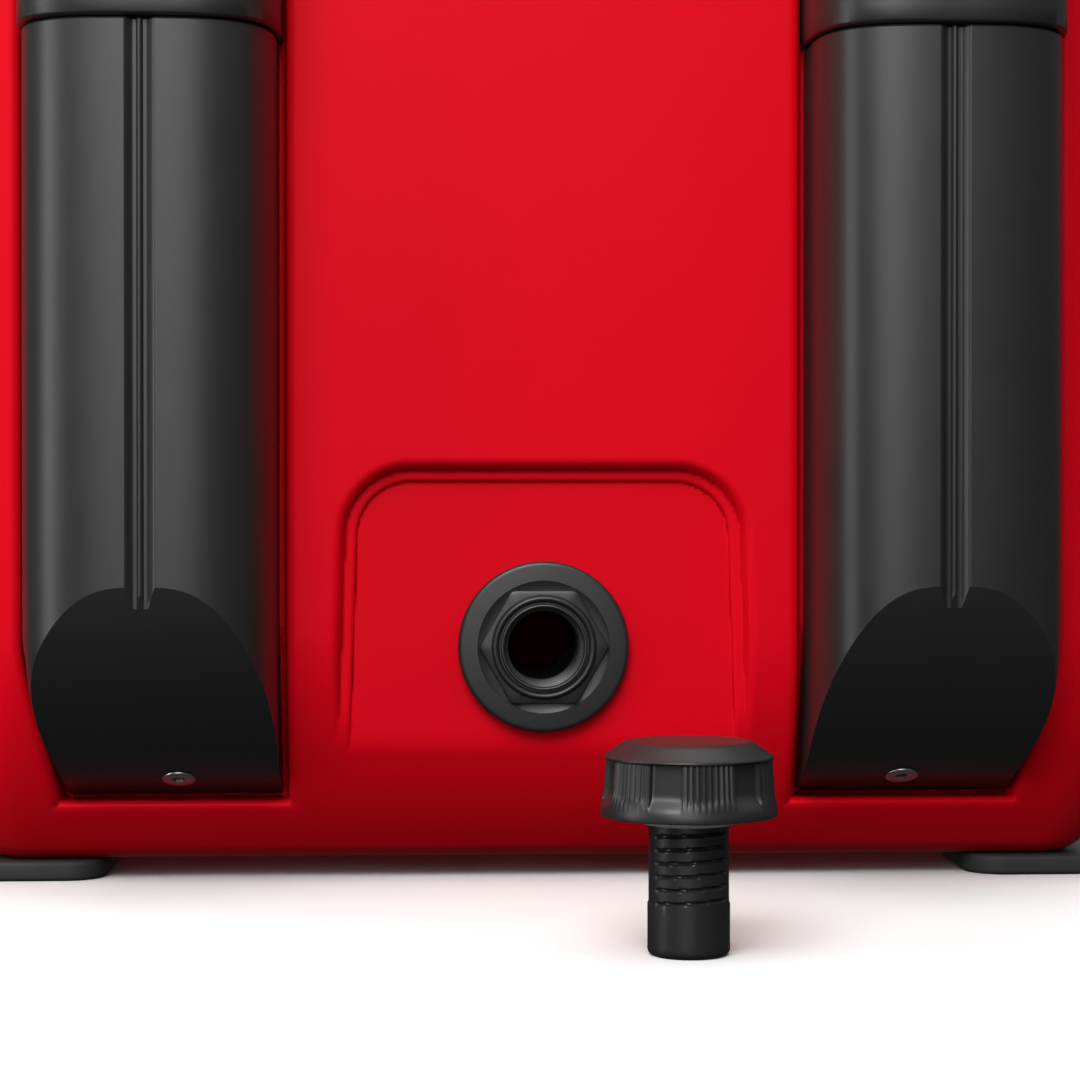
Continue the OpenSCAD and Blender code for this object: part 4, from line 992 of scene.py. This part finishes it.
def build_shells():
    p = bpy.context.scene.cooler_shell
    cell, split_y = p.voxel / MM, FRONT_Y + 32.0
    panel_x, reach = 88.0, 5.0
    sides = [(-HALF_W, -panel_x, ((0, -panel_x, -1),)),
             (-panel_x, panel_x, ((0, -panel_x, 1), (0, panel_x, -1))),
             (panel_x, HALF_W, ((0, panel_x, 1),))]
    for word, (low_x, high_x, cuts) in zip(("left", "middle", "right"), sides):
        fine = p.panel_voxel / MM if word == "middle" else p.wall_voxel / MM
        wall = field_mesh(body_field, (low_x - reach, FRONT_Y, GROUND_GAP),
                          (high_x + reach, split_y + reach, RIM_Z), fine, 0.0,
                          cuts + ((1, split_y, -1),))
        add_piece(f"body_drain_wall_{word}", wall, ["red_polyethylene"], "cooler_body",
                  ["body_shell"])
    body = field_mesh(body_field, (HINGE_X - 10, split_y - 12, GROUND_GAP),
                      (HALF_W, BACK_Y, RIM_Z + 12), cell, 0.015, ((1, split_y, 1),))
    add_piece("body_moulding", body, ["red_polyethylene"], "cooler_body",
              ["body_shell"])
    foam = field_mesh(lambda x, y, z: body_field(x, y, z) + SKIN, (-HALF_W, FRONT_Y, GROUND_GAP),
                      (HALF_W, BACK_Y, RIM_Z), 6.0, 0.05)
    add_piece("body_foam", foam, ["insulating_foam"], "cooler_body",
              ["body_insulation"])
    low = (HINGE_X - 10, FRONT_Y, DIP_Z)
    lid = field_mesh(lid_field, low, (HALF_W, BACK_Y, LID_TOP), cell)
    add_piece("lid_moulding", lid, ["red_polyethylene"], "lid", ["lid_shell"])
    foam = field_mesh(lambda x, y, z: lid_field(x, y, z) + SKIN, (-HALF_W, FRONT_Y, DIP_Z),
                      (HALF_W, BACK_Y, LID_TOP), 6.0, 0.05)
    add_piece("lid_foam", foam, ["insulating_foam"], "lid", ["lid_insulation"])


def build_rails():
    for word, side in (("left", -1), ("right", 1)):
        add_piece(f"rail_cover_{word}", rail_mesh(side),
                  ["black_satin_plastic", "black_dull_plastic"], "cooler_body",
                  [f"rail_{word}"])
        add_piece(f"collar_cover_{word}", collar_mesh(side), ["black_satin_plastic"],
                  "cooler_body", [f"collar_{word}"])
    add_piece("rail_screw_heads", joined(screw_mesh(-1), screw_mesh(1)),
              ["screw_zinc", "black_dull_plastic"], "cooler_body", ["rail_screws"])


def build_drain():
    add_piece("drain_body", fitting_mesh(), ["black_satin_plastic"], "cooler_body",
              ["drain_fitting"])
    add_piece("plug_body", plug_mesh(), ["black_satin_plastic"], "plug",
              ["drain_plug"])
    low, high = span("plug_gasket")
    r = (high[0] - low[0]) / 2
    height = high[2] - low[2]
    profile = arc((r - height / 2, low[2] + height / 2), height / 2, -90, 90, 8)
    profile += [(12.9, high[2]), (12.9, low[2])]
    ring = lathe(profile, 96, "z", np.array([PLUG_MID[0], PLUG_MID[1], 0]), closed=True)
    add_piece("plug_seal", ring, ["plug_seal_silicone"], "plug", ["plug_gasket"])


def tyre_mesh(side, tree):
    """A tyre: a rounded carcass under rows of slanted tread blocks."""
    p = bpy.context.scene.cooler_plug
    low, high = TYRE_LOW[0], TYRE_HIGH[0]
    rim_r, carcass = WHEEL_R - 22.0, WHEEL_R - 3.0
    profile = [(rim_r, low + 3)]
    profile += arc((rim_r + 8, low + 5), 5, 200, 250, 4)
    profile += [(carcass - 14, low + 1.2)]
    profile += arc((carcass - 11, low + 12), 11, -85, 0, 8)
    profile += arc((carcass - 11, high - 12), 11, 0, 85, 8)
    profile += [(carcass - 14, high - 1.2)]
    profile += arc((rim_r + 8, high - 5), 5, 110, 160, 4)
    profile += [(rim_r, high - 3)]
    axis = "x" if side > 0 else "-x"
    body = lathe(profile, 128, axis, np.array([0, AXLE_Y, AXLE_Z]), closed=True)
    rows = []
    mid = (low + high) / 2
    for row, (offset, slant, half) in enumerate(((-13.5, 0.35, 9.5), (0.0, -0.5, 8.5),
                                                (13.5, 0.35, 9.5))):
        rows.append(run_tree(tree, {
            "Count": p.tread_blocks, "Radius": (carcass - 0.6) * MM,
            "Size": Vector((6.4, 8.6, half)) * MM,
            "Slant": Vector((slant, 0.0, 0.0)),
            "Turn": Vector((math.pi / p.tread_blocks * (row % 2), math.pi / 2, 0.0)),
            "Shift": Vector((side * (mid + offset), AXLE_Y, AXLE_Z)) * MM,
            "Finish": MATERIALS["tyre_rubber"]}))
    blocks = [tidy(mesh, sharp=30, bevel=0.7, segments=1, recalculate=False) for mesh in rows]
    return joined(body, *blocks)


def build_wheels():
    tree = block_ring_tree()
    for word, side in (("left", -1), ("right", 1)):
        body = f"wheel_{word}"
        add_piece(f"tyre_tread_{word}", tyre_mesh(side, tree), ["tyre_rubber"], body,
                  [f"tyre_{word}"])
        softened_piece(f"wheel_rim_{word}", f"rim_{word}", 0.9, "black_satin_plastic", body,
                       "black_plastic")
        softened_piece(f"wheel_cap_{word}", f"hub_cap_{word}", 1.2, "black_satin_plastic", body,
                       "black_plastic", segments=3)


def build_feet():
    for word in ("left", "right"):
        softened_piece(f"foot_pad_{word}", f"foot_{word}", 2.2, "foot_rubber", "cooler_body",
                       "rubber_dark", sharp=40, segments=4)


def build_handle():
    tree = rib_row_tree()
    mid_y = (GRIP_LOW[1] + GRIP_HIGH[1]) / 2
    for half in ("lower", "upper"):
        softened_piece(f"grip_shell_{half}", f"grip_{half}", 2.2, "black_satin_plastic",
                       "handle_stage_2", "black_plastic", sharp=40, segments=3)
    ribs = []
    for y in (GRIP_LOW[1] + 0.15, GRIP_HIGH[1] - 0.15):
        ribs.append(run_tree(tree, {
            "Count": 33, "Start": Vector((-96.0, y, GRIP_LOW[2] + 9.0)) * MM,
            "Step": Vector((6.0, 0.0, 0.0)) * MM, "Rib Radius": 1.5 * MM,
            "Rib Length": 11.0 * MM, "Turn": Vector((0.0, 0.0, 0.0)),
            "Flatten": Vector((1.0, 0.45, 1.0)), "Finish": MATERIALS["soft_touch_rubber"]}))
    add_piece("grip_ribs", tidy(joined(*ribs), sharp=50, bevel=0.4, segments=1,
                                recalculate=False),
              ["soft_touch_rubber"], "handle_stage_2")
    softened_piece("button_pad", "release_button", 1.4, "soft_touch_rubber", "release",
                   "rubber_dark", sharp=40, segments=3)
    high = span("release_button")[1]
    dimples = run_tree(tree, {
        "Count": 7, "Start": Vector((-15.0, mid_y, high[2] - 0.1)) * MM,
        "Step": Vector((5.0, 0.0, 0.0)) * MM, "Rib Radius": 0.9 * MM, "Rib Length": 8.0 * MM,
        "Turn": Vector((math.pi / 2, 0.0, 0.0)), "Flatten": Vector((1.0, 1.0, 0.5)),
        "Finish": MATERIALS["soft_touch_rubber"]})
    for vert in dimples.vertices:
        vert.co.z = min(vert.co.z, high[2] * MM + 0.0003)
    add_piece("button_ribs", tidy(dimples, sharp=50, recalculate=False),
              ["soft_touch_rubber"], "release")
    for stage, body in (("guide_bush", "cooler_body"), ("stage_1_bush", "handle_stage_1")):
        for word in ("left", "right"):
            softened_piece(f"{stage}_ring_{word}", f"{stage}_{word}", 0.8, "black_dull_plastic",
                           body, "black_plastic", sharp=40)


def build_latches():
    for word in ("front", "back"):
        softened_piece(f"latch_lever_{word}", f"latch_{word}", 1.2, "black_satin_plastic",
                       f"latch_{word}_body", "black_plastic", sharp=20)
    softened_piece("latch_mounts", "latch_brackets", 0.8, "black_satin_plastic", "lid",
                   "black_plastic")
    softened_piece("keeper_plates", "latch_keepers", 0.7, "black_satin_plastic", "cooler_body",
                   "black_plastic")
    for node, body in (("keeper_screws", "cooler_body"), ("latch_bracket_screws", "lid")):
        softened_piece(f"{node}_heads", node, 0.5, "stainless_steel", body, "steel", sharp=40)


def paint_cad_nodes():
    for finish, names in CAD_FINISHES.items():
        for name in names:
            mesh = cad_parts[name].data
            mesh.materials.clear()
            mesh.materials.append(MATERIALS[finish])


# ---- Stage -------------------------------------------------------------------------------------

def area_light(name, place, target, size, power):
    data = bpy.data.lights.new(name, "AREA")
    data.shape = "RECTANGLE"
    data.size, data.size_y = size
    data.energy = power
    light = bpy.data.objects.new(name, data)
    light.location = place
    light.rotation_euler = (Vector(target) - Vector(place)).to_track_quat("-Z", "Y").to_euler()
    bpy.context.scene.collection.objects.link(light)


def floor_finish_with_painted_glow():
    """Pale paint with painted light: the floor glows softly far from the cooler, standing in for a
    studio floor that curves up to white.
    """
    material = MATERIALS["floor_paint_with_painted_glow"]
    tree = material.node_tree
    place = tree.nodes.new("ShaderNodeTexCoord")
    far = tree.nodes.new("ShaderNodeVectorMath")
    far.operation = "LENGTH"
    glow = tree.nodes.new("ShaderNodeMapRange")
    glow.interpolation_type = "SMOOTHSTEP"
    # painted light: emission brightens the floor from 0.9 m to 4 m away from the cooler
    for label, value in (("From Min", 0.9), ("From Max", 4.0), ("To Max", 0.8)):
        glow.inputs[label].default_value = value
    shader = tree.nodes["Principled BSDF"]
    shader.inputs["Emission Color"].default_value = (1, 1, 1, 1)
    tree.links.new(place.outputs["Object"], far.inputs[0])
    tree.links.new(far.outputs["Value"], glow.inputs["Value"])
    tree.links.new(glow.outputs["Result"], shader.inputs["Emission Strength"])
    return material


def build_stage():
    scene = bpy.context.scene
    mesh = bpy.data.meshes.new("floor")
    reach = 30.0
    mesh.from_pydata([(-reach, -reach, 0), (reach, -reach, 0), (reach, reach, 0),
                      (-reach, reach, 0)], [], [(0, 1, 2, 3)])
    mesh.materials.append(floor_finish_with_painted_glow())
    floor = bpy.data.objects.new("floor", mesh)
    scene.collection.objects.link(floor)
    floor.visible_diffuse = floor.visible_glossy = False
    world = scene.world or bpy.data.worlds.new("studio")
    scene.world = world
    world.use_nodes = True
    sky = world.node_tree
    direction = sky.nodes.new("ShaderNodeTexCoord")
    axes = sky.nodes.new("ShaderNodeSeparateXYZ")
    rise = sky.nodes.new("ShaderNodeMapRange")
    for label, value in (("From Min", -0.05), ("From Max", 0.7), ("To Min", 0.05),
                         ("To Max", 0.35)):
        rise.inputs[label].default_value = value
    path = sky.nodes.new("ShaderNodeLightPath")
    seen = sky.nodes.new("ShaderNodeMix")
    seen.inputs["B"].default_value = 0.92
    sky.links.new(direction.outputs["Generated"], axes.inputs["Vector"])
    sky.links.new(axes.outputs["Z"], rise.inputs["Value"])
    sky.links.new(rise.outputs["Result"], seen.inputs["A"])
    sky.links.new(path.outputs["Is Camera Ray"], seen.inputs["Factor"])
    sky.links.new(seen.outputs["Result"], sky.nodes["Background"].inputs["Strength"])
    sky.nodes["Background"].inputs["Color"].default_value = (1, 1, 1, 1)
    front = FRONT_Y * MM
    area_light("key_box", (-0.35, front - 1.25, 1.25), (0, front, 0.2), (1.2, 0.8), 26)
    area_light("front_box", (-0.20, front - 1.25, 0.40), (-0.05, front, 0.22), (0.70, 0.80), 4)
    area_light("side_box", (-0.75, front - 0.25, 0.30), (-0.15, front, 0.2), (0.25, 0.7), 2)
    area_light("top_box", (0, front - 0.25, 2.2), (0, front + 0.1, 0), (2.4, 2.0), 25)
    area_light("back_box", (0.6, -front + 1.8, 1.4), (0, 0, 0.2), (2.0, 1.4), 26)
    scene.view_settings.view_transform = "Standard"
    camera = bpy.data.objects.new("camera", bpy.data.cameras.new("camera"))
    camera.data.lens = 83.3
    camera.data.sensor_width = 36.0
    camera.location = (-0.045, front - 0.9, 0.134)
    aim = Vector((-0.0015, front, 0.1267))
    camera.rotation_euler = (aim - camera.location).to_track_quat("-Z", "Y").to_euler()
    scene.collection.objects.link(camera)
    scene.camera = camera


# ---- Operators ---------------------------------------------------------------------------------

class COOLER_OT_materials(bpy.types.Operator):
    """Make every finish and give the kept frame pieces theirs"""
    bl_idname = "cooler.materials"
    bl_label = "Finishes"

    def execute(self, context):
        make_materials(context.scene.cooler_colours)
        paint_cad_nodes()
        return {"FINISHED"}


class COOLER_OT_stage(bpy.types.Operator):
    """Make the floor, the lights and the camera"""
    bl_idname = "cooler.stage"
    bl_label = "Stage"

    def execute(self, context):
        build_stage()
        return {"FINISHED"}


class COOLER_OT_shells(bpy.types.Operator):
    """Make the moulded body and lid"""
    bl_idname = "cooler.shells"
    bl_label = "Body and lid"

    def execute(self, context):
        build_shells()
        return {"FINISHED"}


class COOLER_OT_rails(bpy.types.Operator):
    """Make the handle rails, their collars and their screws"""
    bl_idname = "cooler.rails"
    bl_label = "Rails"

    def execute(self, context):
        build_rails()
        return {"FINISHED"}


class COOLER_OT_drain(bpy.types.Operator):
    """Make the drain fitting, its plug and the plug's seal"""
    bl_idname = "cooler.drain"
    bl_label = "Drain"

    def execute(self, context):
        build_drain()
        return {"FINISHED"}


class COOLER_OT_wheels(bpy.types.Operator):
    """Make the tyres, rims and hub caps"""
    bl_idname = "cooler.wheels"
    bl_label = "Wheels"

    def execute(self, context):
        build_wheels()
        return {"FINISHED"}


class COOLER_OT_feet(bpy.types.Operator):
    """Make the rubber feet"""
    bl_idname = "cooler.feet"
    bl_label = "Feet"

    def execute(self, context):
        build_feet()
        return {"FINISHED"}


class COOLER_OT_handle(bpy.types.Operator):
    """Make the grip, its button and the tubes' bushes"""
    bl_idname = "cooler.handle"
    bl_label = "Pull handle"

    def execute(self, context):
        build_handle()
        return {"FINISHED"}


class COOLER_OT_latches(bpy.types.Operator):
    """Make the latches, their mounts and keepers"""
    bl_idname = "cooler.latches"
    bl_label = "Latches"

    def execute(self, context):
        build_latches()
        return {"FINISHED"}


PIECE_OPERATORS = (COOLER_OT_materials, COOLER_OT_stage, COOLER_OT_shells, COOLER_OT_rails,
                   COOLER_OT_drain, COOLER_OT_wheels, COOLER_OT_feet, COOLER_OT_handle,
                   COOLER_OT_latches)
SETTINGS = (("cooler_shell", CoolerShellSizes), ("cooler_rails", CoolerRailSizes),
            ("cooler_plug", CoolerPlugSizes), ("cooler_colours", CoolerColours))


class COOLER_PT_panel(bpy.types.Panel):
    """Lists the cooler's settings and the steps that build it"""
    bl_label = "Wheeled Cooler"
    bl_idname = "COOLER_PT_panel"
    bl_space_type = "VIEW_3D"
    bl_region_type = "UI"
    bl_category = "Cooler"

    def draw(self, context):
        for attribute, group in SETTINGS:
            box = self.layout.box()
            for name in group.__annotations__:
                box.prop(getattr(context.scene, attribute), name)
        for operator in PIECE_OPERATORS:
            self.layout.operator(operator.bl_idname)


def register():
    for _, group in SETTINGS:
        bpy.utils.register_class(group)
    for attribute, group in SETTINGS:
        setattr(bpy.types.Scene, attribute, PointerProperty(type=group))
    for operator in PIECE_OPERATORS:
        bpy.utils.register_class(operator)
    bpy.utils.register_class(COOLER_PT_panel)


def unregister():
    bpy.utils.unregister_class(COOLER_PT_panel)
    for operator in reversed(PIECE_OPERATORS):
        bpy.utils.unregister_class(operator)
    for attribute, group in reversed(SETTINGS):
        delattr(bpy.types.Scene, attribute)
        bpy.utils.unregister_class(group)


def main():
    register()
    for operator in PIECE_OPERATORS:
        group, name = operator.bl_idname.split(".")
        getattr(getattr(bpy.ops, group), name)()


if __name__ == "__main__":
    main()
